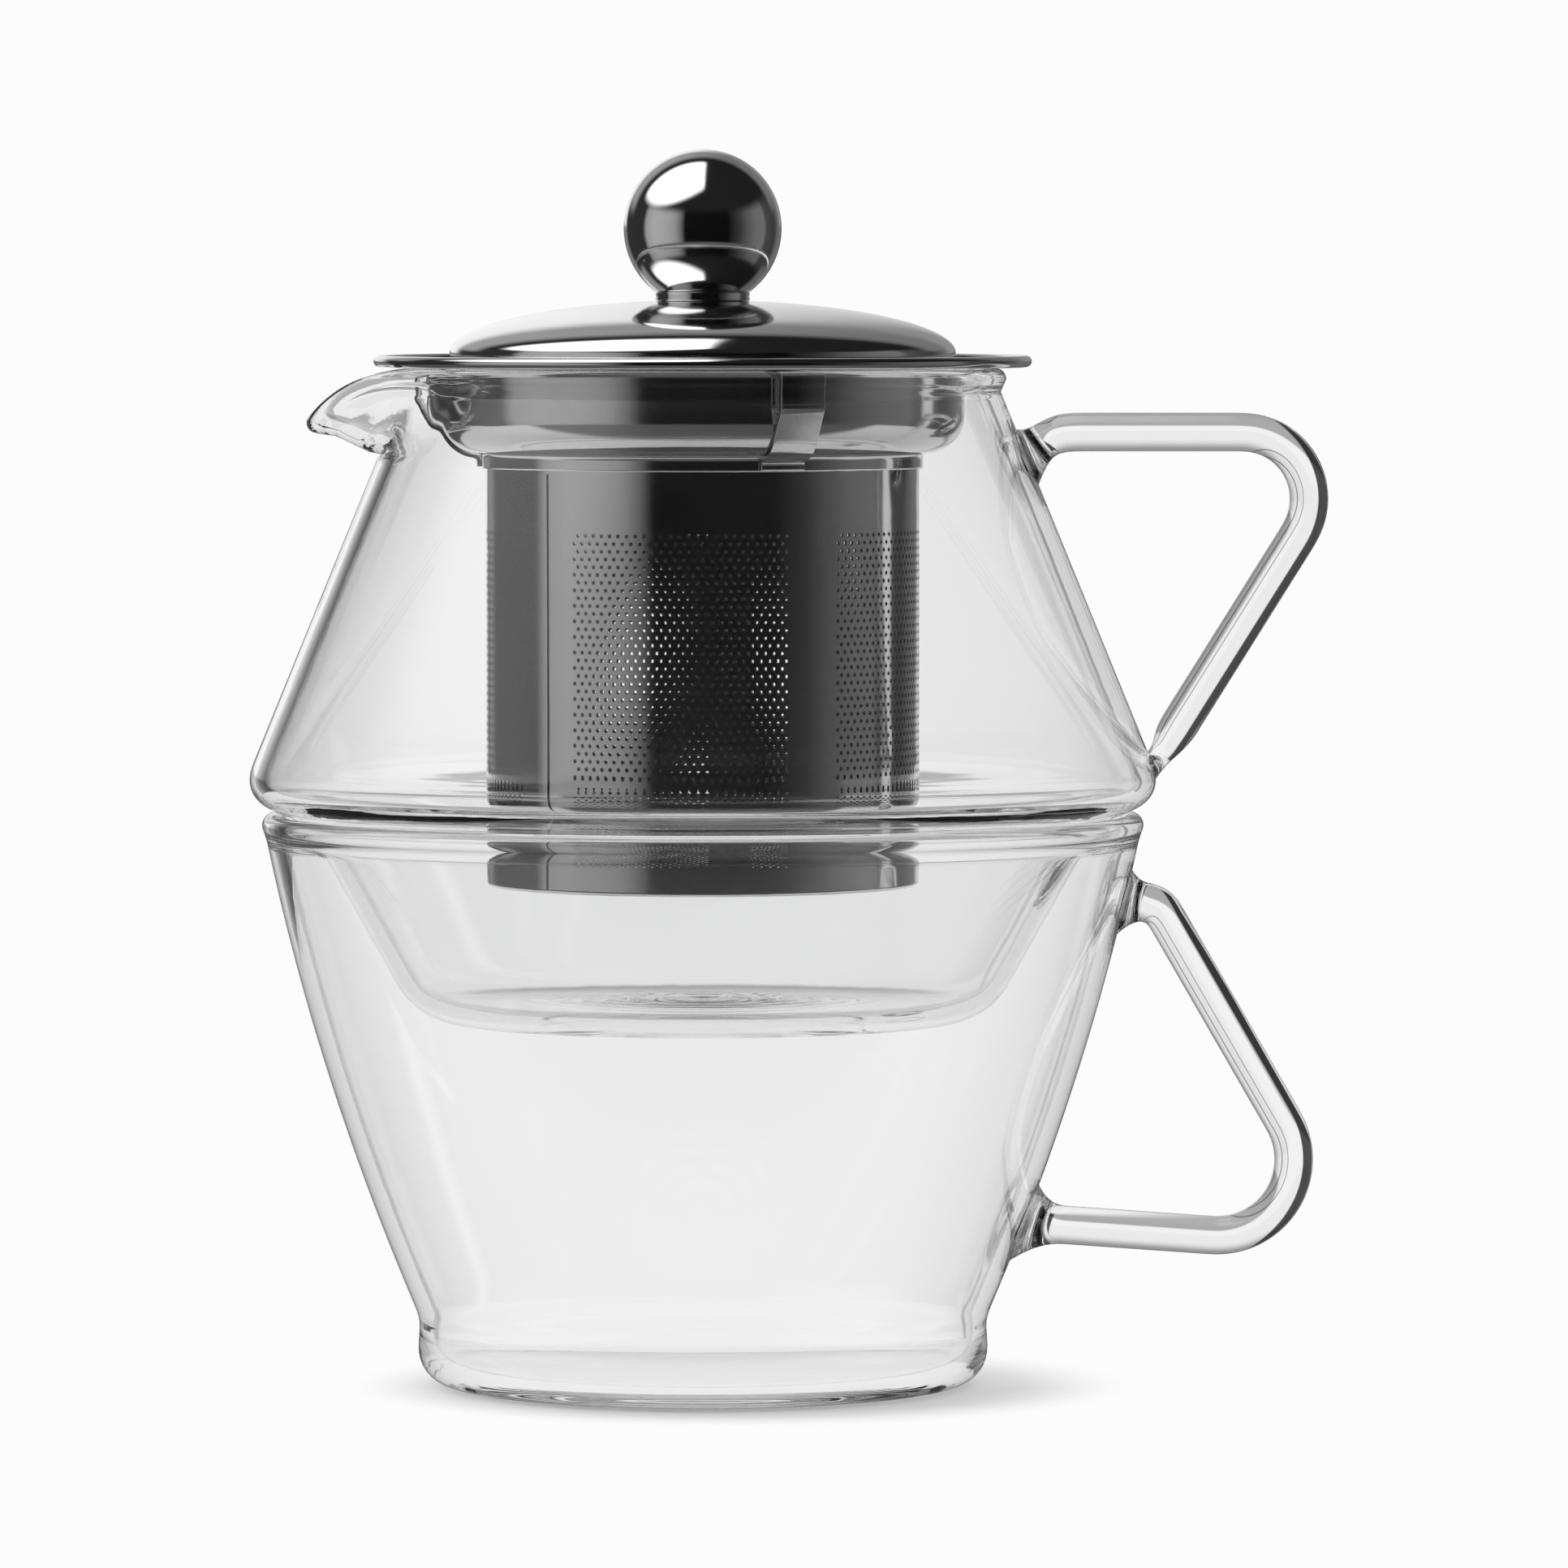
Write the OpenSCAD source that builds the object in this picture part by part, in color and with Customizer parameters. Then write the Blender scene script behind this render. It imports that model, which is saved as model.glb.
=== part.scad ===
// Stacking glass teapot and cup for one: the pot nests in the cup's mouth, a steel infuser hangs
// in the pot's mouth and a steel lid with a ball knob stands in the infuser's collar.
// Millimetres. +Z is up, the cup's foot stands on z = 0, the spout points to -X, the handles to +X.

/* [Glass] */
// Thickness of the glass walls
glass_wall = 2.0; // [1.6:0.1:2.6]
// Radius of the rods that the handles are bent from
rod_r = 2.5; // [2.0:0.1:3.0]

/* [Cup] */
// Outer radius of the cup's rim
cup_rim_r = 57; // [54:0.5:60]
// Height of the middle of the cup's rim bead
cup_rim_z = 72.6; // [66:0.5:80]
// Radius of the round bead along the rim
cup_bead_r = 1.5; // [1.2:0.1:1.8]
// Outer radius of the cup's waist above its foot
cup_waist_r = 36.6; // [33:0.2:40]
// Height of the waist
cup_waist_z = 8.4; // [7:0.2:10]
// How far the cup's wall bows out between waist and rim
cup_belly = 1.75; // [0.5:0.05:3]
// Radius of the foot's round lower edge
cup_foot_round = 4.5; // [3:0.1:5.5]
// Thickness of the cup's floor
cup_floor = 2.4; // [1.8:0.1:3.5]

/* [Cup handle] */
// Distance of the bend's centre from the cup's axis
cup_bend_x = 66.7; // [64:0.2:70]
// Height of the bend's centre
cup_bend_z = 29.1; // [25:0.5:33]
// Bend radius of the rod's middle line
cup_bend_r = 9.9; // [8:0.1:12]
// Bend radius of the upper arm's end, where it turns to the wall
cup_knee_r = 3.2; // [3.1:0.1:5]
// Lean of the upper arm from the vertical, in degrees
cup_arm_lean = 30; // [26:1:34]
// Fall of the lower arm towards the bend, in degrees
cup_arm_fall = 4; // [0:1:8]
// Height of the upper weld
cup_weld_z = 62.5; // [59:0.5:66]
// Radius of the flare at the upper weld
cup_top_flare = 4.4; // [3:0.1:5]
// Reach of the flare at the upper weld
cup_top_reach = 3; // [2:0.1:4]
// Radius of the flare at the lower weld
cup_low_flare = 5.2; // [3:0.1:6]
// Reach of the flare at the lower weld
cup_low_reach = 4.5; // [3:0.1:6]

/* [Pot] */
// Outer radius of the pot's belt, its widest place
belt_r = 58.7; // [56:0.5:61]
// Radius of the round edge of the belt
belt_round = 3.8; // [2.5:0.1:5]
// Rise of the shoulder that rests on the cup's rim, in degrees
shoulder_rise = 23.5; // [18:0.5:30]
// Height of the pot's mouth above the middle of its belt
pot_cone_h = 53.1; // [48:0.5:60]
// How far the mouth's rim stands out from the strainer's collar
mouth_step = 5.4; // [5:0.1:7]
// Radius of the round bead along the mouth
mouth_bead_r = 1.25; // [1.1:0.05:1.4]
// Depth below the rim where the mouth's bead meets the cone
neck_low = 3; // [2.6:0.1:5]
// How far the cone's upper end stands in from the rim
neck_in = 0.7; // [0.4:0.1:1.5]
// Radius where the shoulder turns down into the bowl
bowl_top_r = 51.2; // [49:0.2:52]
// Depth of the bowl that hangs into the cup
bowl_depth = 25.4; // [20:0.2:28]
// Radius of the hollow between shoulder and bowl
hollow_r = 4; // [2.5:0.1:6]
// Radius of the bowl's flat floor
bowl_floor_r = 31.6; // [29:0.2:34]
// Radius of the bowl's lower round
bowl_round = 9; // [7:0.5:11]
// Rise of the floor in its middle
floor_rise = 1.4; // [0:0.1:2]

/* [Spout] */
// How far the lip reaches past the mouth's rim
spout_reach = 12; // [8:0.5:14]
// How far the lip's tip lies below the mouth's rim
spout_drop = 5.8; // [3:0.2:7]
// Height of the spout, from the crease in the wall to the mouth's rim
spout_h = 10.9; // [9:0.1:13]
// Half of the angle that the spout takes of the rim, in degrees
spout_half = 32; // [26:1:36]

/* [Pot handle] */
// Distance of the bend's centre from the pot's axis
pot_bend_x = 69.8; // [67:0.2:73]
// Depth of the bend's centre below the mouth's rim
pot_bend_drop = 16.8; // [14:0.2:19]
// Bend radius of the rod's middle line
pot_bend_r = 8.6; // [7.5:0.1:10]
// Lean of the lower arm from the vertical, in degrees
pot_arm_lean = 32; // [29:1:34]
// Height of the lower arm's end above the middle of the belt
pot_weld_up = 2; // [0:0.1:4]
// Radius of the glass drop at the lower weld
pot_drop_r = 3.6; // [2.8:0.1:4.5]
// Radius of the flare at the upper weld
pot_flare = 4.9; // [3:0.1:6]
// How far that weld's middle lies below the arm
pot_flare_down = 3.6; // [2:0.1:5]
// Reach of that flare along the arm
pot_flare_reach = 4.5; // [3:0.1:6]

/* [Infuser] */
// Outer radius of the strainer tube
tube_r = 28; // [26:0.2:29]
// Sheet thickness of the strainer tube
tube_sheet = 0.4; // [0.3:0.05:0.6]
// Length of the infuser below its flange
infuser_l = 66.5; // [58:0.5:70]
// Sheet thickness of the collar, its flange and the closing disc
collar_sheet = 0.5; // [0.4:0.05:0.7]
// How far the collar's bowl stands out from the tube
collar_step = 5.8; // [5.8:0.1:7]
// Depth of the collar below its flange
collar_h = 13.5; // [12:0.1:15]
// Height of the neck that the tube sits in
collar_neck_h = 2.1; // [1.6:0.1:3]
// Radius of the round below the flange
flange_round = 1.2; // [0.8:0.1:1.6]
// Radius of the round above the neck
neck_round = 0.4; // [0.2:0.05:0.6]
// Radius of the collar's lower round
collar_round = 4.9; // [4.4:0.1:4.9]
// How far the flange that hangs on the pot's mouth reaches past it
flange_over = 3.3; // [2.5:0.1:4.5]
// Radius of the flange's rolled edge
flange_roll_r = 0.75; // [0.6:0.05:1]
// Height of the closing disc's upturned edge inside the tube
disc_edge_h = 4; // [3:0.2:6]
// Angle at which the sheet of the tube overlaps itself
seam_at = -134; // [-150:1:-120]
// Width of that overlap, in degrees
seam_lap = 10; // [6:1:14]

/* [Centring springs] */
// Number of springs round the collar
spring_n = 3; // [3:1:3]
// Angle of the first spring from +X
spring_at = -69.4; // [-75:0.2:-60]
// Width of a spring's strip
spring_w = 5.8; // [4.5:0.1:6.5]
// Thickness of a spring's strip
spring_sheet = 0.45; // [0.4:0.05:0.6]
// Play between a spring and the pot's mouth
mouth_play = 0.5; // [0.4:0.05:0.8]
// Depth of a spring's upper end below the flange
spring_low = 1; // [0.8:0.1:2]
// Height of a spring's upright part
spring_upright = 4.4; // [3.5:0.1:5]

/* [Lid] */
// Play between the lid's skirt and the collar
lid_play = 0.6; // [0.4:0.1:1.2]
// Height of the lid's dome above its skirt
dome_h = 6.8; // [5:0.1:9]
// Depth of the skirt above the flange that shows below the dome
skirt_above = 1.2; // [0.5:0.1:2.5]
// Sheet thickness of the lid
lid_sheet = 0.6; // [0.5:0.05:0.8]
// Radius of the steam vent
vent_r = 0.9; // [0.6:0.1:1.4]
// Distance of the vent from the lid's edge
vent_inset = 13.9; // [10:0.1:16]

/* [Knob] */
// Radius of the ball knob
ball_r = 10.2; // [8.5:0.1:12]
// Radius of the knob's neck
neck_r = 6.1; // [5:0.1:7]
// Height of the neck between lid and ball
neck_h = 1.2; // [0.8:0.1:3]
// Radius of the knob's screw
screw_r = 2; // [1.5:0.1:2.5]
// Length of the screw's thread inside the ball
thread_in_ball = 7; // [5:0.5:9]
// Radius of the screw's head
screw_head_r = 3.8; // [3.4:0.1:4.4]
// Height of the screw's head
screw_head_h = 2.4; // [1.8:0.1:3]
// Thickness of the washer under the lid
washer_h = 0.8; // [0.5:0.1:1.2]
// Half length of a slot of the screw's crossed recess
recess_l = 2; // [1.2:0.1:2.6]
// Half width of such a slot
recess_w = 0.5; // [0.3:0.1:0.8]
// Depth of the recess
recess_h = 1.2; // [0.8:0.1:1.6]
// Overhang of the washer past the screw's head
washer_over = 1; // [0.5:0.1:2]

/* [Hidden] */

$fn = 96;
glass_tint = [0.86, 0.9, 0.9, 0.35];
polished = [0.66, 0.66, 0.68];
satin = [0.5, 0.5, 0.52];

collar_r = tube_r + collar_step;
mouth_r = collar_r + mouth_step;
flange_r = mouth_r + flange_over;
lid_r = collar_r - collar_sheet - lid_play;
seat_gap = 0.3;      // between pieces that rest on each other and lift apart
slip = 0.05;         // between a screw or tube and the hole round it
weld_sink = 0.3;     // how deep a hot-fused glass rod melts into the wall
bend_swell = 0.03;   // a bend is this much thicker than the straight rod that runs into it
bend_lap = 0.35;     // how far the straight rod runs into the bend
flare_end = rod_r * 0.9;  // a flare ends inside the rod
weld_back = 3.5;     // how far a weld's flare is drawn back into the wall before it is cut
arc_step = 7.5;      // degrees between the points of a round
glass_step = 12;     // the same on the pot, which is one faceted skin
cut = 1;             // how far a cutting solid runs past the piece that it cuts
bite = 0.1;          // how far touching surfaces of one round or weld run into each other

// --- outlines: each point is [radius, height, angle of the outward normal] ---
function on_round(c, r, a0, a1, step = arc_step) =
    let (n = max(2, ceil(abs(a1 - a0) / step)))
    [for (i = [0:n]) let (a = a0 + (a1 - a0) * i / n) [c[0] + r * cos(a), c[1] + r * sin(a), a]];
function inward(p, d) = [p[0] - d * cos(p[2]), p[1] - d * sin(p[2])];
function flat(p) = [p[0], p[1]];
function reverse(l) = [for (i = [len(l) - 1:-1:0]) l[i]];
// Normal angle of the line from p that touches the round (c, r) from outside
function touch_angle(c, r, p) =
    let (d = p - c) atan2(d[1], d[0]) - acos(r / norm(d));
// Centre of a hollow round of radius r between two lines that meet at p
function hollow_centre(p, a0, a1, r) =
    let (n0 = [cos(a0), sin(a0)], n1 = [cos(a1), sin(a1)]) p + r * (n0 + n1) / (1 + n0 * n1);
// A sheet of thickness t with the given outer side
function sheet(side, t) =
    concat([for (p = side) flat(p)], reverse([for (p = side) inward(p, t)]));

// --- cup ---
cup_bead_at = [cup_rim_r - cup_bead_r, cup_rim_z];
cup_wall_top = cup_rim_z - cup_bead_r;
cup_wall_top_r = cup_rim_r - cup_bead_r + glass_wall / 2;
cup_wall_steps = 14;
cup_foot_out = 0.35; // how far the foot's round stands out past the waist
cup_foot_r = cup_waist_r + cup_foot_out;
cup_foot_bulge_z = cup_foot_round + 0.3;
// Outer wall from waist to rim: a straight line bowed out by cup_belly
function cup_wall_at(t) =
    let (run = cup_wall_top_r - cup_waist_r, climb = cup_wall_top - cup_waist_z,
        slope = (run + cup_belly * 4 * (1 - 2 * t)) / climb)
    [cup_waist_r + run * t + cup_belly * 4 * t * (1 - t), cup_waist_z + climb * t, -atan(slope)];
function cup_r_at(z) = cup_wall_at((z - cup_waist_z) / (cup_wall_top - cup_waist_z))[0];
cup_outer = concat(
    on_round([cup_foot_r - cup_foot_round, cup_foot_round], cup_foot_round, -90, 0),
    [[cup_foot_r, cup_foot_bulge_z, 0]],
    [for (i = [0:cup_wall_steps]) cup_wall_at(i / cup_wall_steps)]);
cup_inner = [for (i = [cup_wall_steps:-1:0]) inward(cup_wall_at(i / cup_wall_steps), glass_wall)];
cup_hollow_foot = on_round([cup_foot_r - cup_foot_round, cup_foot_round + cup_floor - glass_wall],
    cup_foot_round - glass_wall, 0, -90);
cup_profile = concat(
    [[0, 0]],
    [for (p = cup_outer) flat(p)],
    [for (p = on_round(cup_bead_at, cup_bead_r, -30, 210)) flat(p)],
    cup_inner,
    [for (p = cup_hollow_foot) flat(p)],
    [[0, cup_floor]]);

// --- pot ---
// The belt's round stands above the cup's rim bead by the seat gap
belt_c = [belt_r - belt_round,
    cup_bead_at[1] + (belt_round + cup_bead_r + seat_gap
        + (belt_r - belt_round - cup_bead_at[0]) * sin(shoulder_rise)) / cos(shoulder_rise)];
mouth_z = belt_c[1] + pot_cone_h;
mouth_c = [mouth_r - mouth_bead_r, mouth_z - mouth_bead_r];
neck_at = [mouth_r - neck_in, mouth_z - neck_low];
cone_a = touch_angle(belt_c, belt_round, neck_at);
shoulder_a = shoulder_rise - 90;
bowl_top = [bowl_top_r, belt_c[1] - belt_round / cos(shoulder_rise)
    - (belt_c[0] - bowl_top_r) * tan(shoulder_rise)];
floor_z = bowl_top[1] - bowl_depth;
bowl_c = [bowl_floor_r, floor_z + bowl_round];
bowl_a = touch_angle(bowl_c, bowl_round, bowl_top);
hollow_c = hollow_centre(bowl_top, shoulder_a, bowl_a, hollow_r);
floor_steps = 4;
// The floor rises to its middle in half a cosine wave
pot_floor = [for (i = [1:floor_steps - 1]) let (s = i / floor_steps)
    [bowl_floor_r * s, floor_z + floor_rise * (1 + cos(180 * s)) / 2, -90]];
pot_outer = concat(
    pot_floor,
    on_round(bowl_c, bowl_round, -90, bowl_a, glass_step),
    on_round(hollow_c, -hollow_r, bowl_a, shoulder_a, glass_step),
    on_round(belt_c, belt_round, shoulder_a, cone_a, glass_step),
    [[neck_at[0], neck_at[1], cone_a]]);
spout_z = mouth_z - spout_h;
cone_foot = [belt_c[0] + belt_round * cos(cone_a), belt_c[1] + belt_round * sin(cone_a)];
function pot_r_at(z) = cone_foot[0] + (neck_at[0] - cone_foot[0]) * (z - cone_foot[1])
    / (neck_at[1] - cone_foot[1]);
// The cone is cut into short lengths above the spout's crease, so that the lip can bend
cone_cuts = [for (s = [0, 0.35, 0.7]) let (z = spout_z + s * (neck_at[1] - spout_z))
    [pot_r_at(z), z, cone_a]];
pot_side = concat([for (i = [0:len(pot_outer) - 2]) pot_outer[i]], cone_cuts,
    [pot_outer[len(pot_outer) - 1]]);
pot_profile = concat(
    [for (p = pot_side) flat(p)],
    [for (p = on_round(mouth_c, mouth_bead_r, -10, 190, 25)) flat(p)],
    reverse([for (p = pot_side) inward(p, glass_wall)]));
pot_pole = [[0, floor_z + floor_rise], [0, floor_z + floor_rise + glass_wall]];

// The spout: above its crease the wall moves out and down, most at the middle of the lip
function lip(a) = let (off = abs(a - 180)) off < spout_half ? pow(cos(90 * off / spout_half), 2) : 0;
function poured(p, a) =
    let (up = max(0, (p[1] - spout_z) / spout_h), share = lip(a),
        r = p[0] + spout_reach * share * up,
        z = p[1] - spout_drop * pow(share, 3) * up)
    [r * cos(a), r * sin(a), z];
pot_angles = concat([for (a = [0:6:144]) a], [for (a = [147:3:213]) a], [for (a = [216:6:354]) a]);

// --- infuser ---
flange_under = mouth_z + seat_gap;
flange_top = flange_under + collar_sheet;
collar_low = flange_under - collar_h;
infuser_low = flange_under - infuser_l;
tube_neck_r = tube_r + collar_sheet;
corner_c = [collar_r - collar_round, collar_low + collar_neck_h + collar_round];
collar_side = concat(
    [[tube_neck_r, collar_low, 0]],
    on_round([tube_neck_r + neck_round, corner_c[1] - collar_round - neck_round],
        -neck_round, 0, -90, 30),
    on_round(corner_c, collar_round, -90, 0),
    on_round([collar_r + flange_round, flange_under - flange_round], -flange_round, 0, -90),
    [[flange_r - flange_roll_r, flange_under, -90]]);
roll_c = [flange_r - flange_roll_r, flange_under + flange_roll_r - bite];
tube_top = corner_c[1] - collar_round;

// --- springs: the strip's side that faces the collar, [radius, height, normal, half of the turn] ---
spring_in_r = mouth_c[0] - mouth_bead_r - mouth_play - spring_sheet;
spring_top_z = flange_under - spring_low;
crease_z = spring_top_z - spring_upright;
spring_round = collar_round + seat_gap;
foot_r = tube_neck_r + seat_gap;
slant_a = touch_angle(corner_c, spring_round, [spring_in_r, crease_z]);
spring_side = concat(
    [[foot_r, collar_low + seat_gap, 0, 0], [foot_r, corner_c[1] - spring_round, -45, 45]],
    [for (p = on_round(corner_c, spring_round, -85, slant_a)) [p[0], p[1], p[2], 0]],
    [[spring_in_r, crease_z, slant_a / 2, slant_a / 2], [spring_in_r, spring_top_z, 0, 0]]);
spring_back = [for (p = spring_side) flat(p) + spring_sheet / cos(p[3]) * [cos(p[2]), sin(p[2])]];

// --- lid ---
skirt_z = flange_top + skirt_above;
lid_top = skirt_z + dome_h;
skirt_low = corner_c[1]
    - sqrt(pow(collar_round - collar_sheet - seat_gap, 2) - pow(lid_r - corner_c[0], 2));
function dome_at(a, t) = [(lid_r - t) * sin(a), skirt_z + (dome_h - t) * cos(a)];
ball_cut = sqrt(ball_r * ball_r - neck_r * neck_r);
neck_z = lid_top - bite;
ball_low = neck_z + neck_h;
ball_z = ball_low + ball_cut;
under_lid = lid_top - lid_sheet - bite;
head_z = under_lid - washer_h;
thread_spare = 0.6;  // how far the ball's hole runs past the end of the thread

// --- shapes ---
// A straight rod in the plane y = 0, from p to q, each [x, z]
module rod(p, q, r0, r1) {
    d = q - p;
    translate([p[0], 0, p[1]]) rotate([0, atan2(d[0], d[1]), 0])
        if (r0 == r1) cylinder(h = norm(d), r = r0);
        else cylinder(h = norm(d), r1 = r0, r2 = r1);
}

// The flare of a weld: r0 wide at the wall point p, r1 wide after l along d
module flare(p, d, l, r0, r1) {
    back = weld_back;
    rod(p - d * back, p + d * l, r0 + (r0 - r1) * back / l, r1);
}

// A bend in the plane y = 0 round c, from angle a0 through da: a sector of a full ring
module bend(c, r, a0, da) {
    far = 2 * (r + rod_r);
    translate([c[0], 0, c[1]]) rotate([90, 0, 0]) intersection() {
        rotate_extrude() translate([r, 0]) circle(r = rod_r + bend_swell);
        translate([0, 0, -far / 2]) linear_extrude(height = far)
            polygon(concat([[0, 0]], [for (t = [0, 0.5, 1]) far * [cos(a0 + da * t), sin(a0 + da * t)]]));
    }
}

module cup_body() {
    color(glass_tint) rotate_extrude() polygon(cup_profile);
}

module cup_handle() {
    c = [cup_bend_x, cup_bend_z];
    lean = cup_arm_lean;
    out = [cos(lean), sin(lean)];
    arm = [-sin(lean), cos(lean)];
    arm_l = (cup_weld_z - cup_knee_r - c[1] - (cup_bend_r - cup_knee_r) * out[1]) / arm[1];
    knee = c + (cup_bend_r - cup_knee_r) * out + arm * arm_l;
    low_dir = [cos(cup_arm_fall), -sin(cup_arm_fall)];
    low_start = c + cup_bend_r * [-sin(cup_arm_fall), -cos(cup_arm_fall)];
    low_z = low_start[1] + (low_start[0] - cup_r_at(low_start[1])) * tan(cup_arm_fall);
    low_weld = [cup_r_at(low_z), low_z];
    color(glass_tint) difference() {
        union() {
            rod([cup_r_at(cup_weld_z) - weld_back, cup_weld_z], [knee[0] + bend_lap, cup_weld_z],
                rod_r, rod_r);
            bend(knee, cup_knee_r, lean, 90 - lean);
            rod(c + cup_bend_r * out - arm * bend_lap, c + cup_bend_r * out + arm * (arm_l + bend_lap),
                rod_r, rod_r);
            bend(c, cup_bend_r, -90 - cup_arm_fall, 90 + cup_arm_fall + lean);
            rod(low_weld - low_dir * weld_back, low_start + low_dir * bend_lap, rod_r, rod_r);
            flare([cup_r_at(cup_weld_z), cup_weld_z], [1, 0], cup_top_reach, cup_top_flare, flare_end);
            flare(low_weld, low_dir, cup_low_reach, cup_low_flare, flare_end);
        }
        rotate_extrude() polygon(concat([[0, 0]],
            [for (i = [0:cup_wall_steps]) inward(cup_wall_at(i / cup_wall_steps), weld_sink)],
            [[0, cup_wall_top]]));
    }
}

module pot_body() {
    n = len(pot_angles);
    m = len(pot_profile);
    points = concat([for (p = pot_profile, a = pot_angles) poured(p, a)],
        [for (p = pot_pole) [0, 0, p[1]]]);
    sides = [for (i = [0:m - 2], j = [0:n - 1]) let (k = (j + 1) % n)
        each [[i * n + j, (i + 1) * n + j, (i + 1) * n + k], [i * n + j, (i + 1) * n + k, i * n + k]]];
    low_fan = [for (j = [0:n - 1]) [m * n, j, (j + 1) % n]];
    high_fan = [for (j = [0:n - 1]) [m * n + 1, (m - 1) * n + (j + 1) % n, (m - 1) * n + j]];
    color(glass_tint) polyhedron(points, concat(sides, low_fan, high_fan));
}

module pot_handle() {
    c = [pot_bend_x, mouth_z - pot_bend_drop];
    out = [cos(pot_arm_lean), -sin(pot_arm_lean)];
    arm_z = c[1] + pot_bend_r;
    low_dir = [-sin(pot_arm_lean), -cos(pot_arm_lean)];
    low_start = c + pot_bend_r * out;
    low_end = low_start + low_dir * (low_start[1] - belt_c[1] - pot_weld_up) / cos(pot_arm_lean);
    pad = [pot_r_at(arm_z - pot_flare_down), arm_z - pot_flare_down];
    pad_end = [pot_r_at(arm_z) + pot_flare_reach, arm_z - rod_r + flare_end];
    pad_l = norm(pad_end - pad);
    color(glass_tint) difference() {
        union() {
            rod([pot_r_at(arm_z) - weld_back, arm_z], [c[0] + bend_lap, arm_z], rod_r, rod_r);
            bend(c, pot_bend_r, -pot_arm_lean, 90 + pot_arm_lean);
            rod(low_end, low_start - low_dir * bend_lap, rod_r, rod_r);
            flare(pad, (pad_end - pad) / pad_l, pad_l, pot_flare, flare_end);
            translate([low_end[0], 0, low_end[1]]) sphere(r = pot_drop_r);
        }
        rotate_extrude() polygon(concat([[0, bowl_top[1]]],
            [for (p = on_round(belt_c, belt_round, shoulder_a, cone_a)) inward(p, weld_sink)],
            [inward([neck_at[0], neck_at[1], cone_a], weld_sink), [0, neck_at[1]]]));
    }
}

module infuser_collar() {
    color(polished) rotate_extrude() {
        polygon(sheet(collar_side, collar_sheet));
        translate(roll_c) circle(r = flange_roll_r, $fn = 32);
    }
}

module infuser_tube() {
    color(satin) {
        difference() {
            translate([0, 0, infuser_low + collar_sheet])
                cylinder(h = tube_top - infuser_low - collar_sheet, r = tube_r);
            translate([0, 0, infuser_low])
                cylinder(h = tube_top - infuser_low + cut, r = tube_r - tube_sheet);
        }
        // The sheet's overlap stops below the collar
        translate([0, 0, infuser_low + collar_sheet]) rotate([0, 0, seam_at - seam_lap])
            rotate_extrude(angle = seam_lap) translate([tube_r - tube_sheet / 2, 0])
                square([tube_sheet, collar_low - seat_gap - infuser_low - collar_sheet]);
    }
}

module infuser_base() {
    edge_r = tube_r - tube_sheet;
    color(polished) translate([0, 0, infuser_low]) difference() {
        union() {
            cylinder(h = collar_sheet, r = tube_r);
            cylinder(h = disc_edge_h, r = edge_r);
        }
        translate([0, 0, collar_sheet]) cylinder(h = disc_edge_h, r = edge_r - collar_sheet);
    }
}

module centring_spring(i) {
    color(polished) rotate([0, 0, spring_at - 120 * i]) rotate([90, 0, 0])
        linear_extrude(height = spring_w, center = true)
            polygon(concat([for (p = spring_side) flat(p)], reverse(spring_back)));
}

module centring_spring_1() { centring_spring(0); }
module centring_spring_2() { centring_spring(1); }
module centring_spring_3() { centring_spring(2); }

module lid_shell() {
    step = 5;
    outer = [for (a = [step:step:90]) dome_at(a, 0)];
    inner = [for (a = [90:-step:step]) dome_at(a, lid_sheet)];
    color(polished) difference() {
        rotate_extrude() polygon(concat(
            [[0, lid_top]], outer, [[lid_r, skirt_low], [lid_r - lid_sheet, skirt_low]],
            inner, [[0, lid_top - lid_sheet]]));
        translate([0, 0, head_z]) cylinder(h = lid_top - head_z + cut, r = screw_r + slip);
        translate([vent_inset - lid_r, 0, skirt_z]) cylinder(h = dome_h + cut, r = vent_r);
    }
}

module knob_neck() {
    color(polished) translate([0, 0, neck_z]) difference() {
        cylinder(h = neck_h, r = neck_r);
        translate([0, 0, -cut]) cylinder(h = neck_h + 2 * cut, r = screw_r + slip);
    }
}

module knob_ball() {
    color(polished) translate([0, 0, ball_z]) difference() {
        sphere(r = ball_r);
        translate([0, 0, -ball_r - ball_cut]) cylinder(h = ball_r, r = ball_r);
        translate([0, 0, -ball_cut - cut])
            cylinder(h = thread_in_ball + thread_spare + cut, r = screw_r + slip);
    }
}

module knob_screw() {
    color(satin) difference() {
        union() {
            translate([0, 0, head_z]) cylinder(h = ball_low + thread_in_ball - head_z, r = screw_r);
            translate([0, 0, head_z - screw_head_h]) cylinder(h = screw_head_h, r = screw_head_r);
        }
        // Crossed recess for a screwdriver
        for (a = [0, 90]) rotate([0, 0, a])
            translate([-recess_l, -recess_w, head_z - screw_head_h - cut])
                cube([2 * recess_l, 2 * recess_w, recess_h + cut]);
    }
}

module knob_washer() {
    color(satin) translate([0, 0, head_z]) difference() {
        cylinder(h = washer_h, r = screw_head_r + washer_over);
        translate([0, 0, -cut]) cylinder(h = washer_h + 2 * cut, r = screw_r + slip);
    }
}

cup_body();
cup_handle();
pot_body();
pot_handle();
infuser_collar();
infuser_tube();
infuser_base();
centring_spring_1();
centring_spring_2();
centring_spring_3();
lid_shell();
knob_neck();
knob_ball();
knob_screw();
knob_washer();
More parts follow.
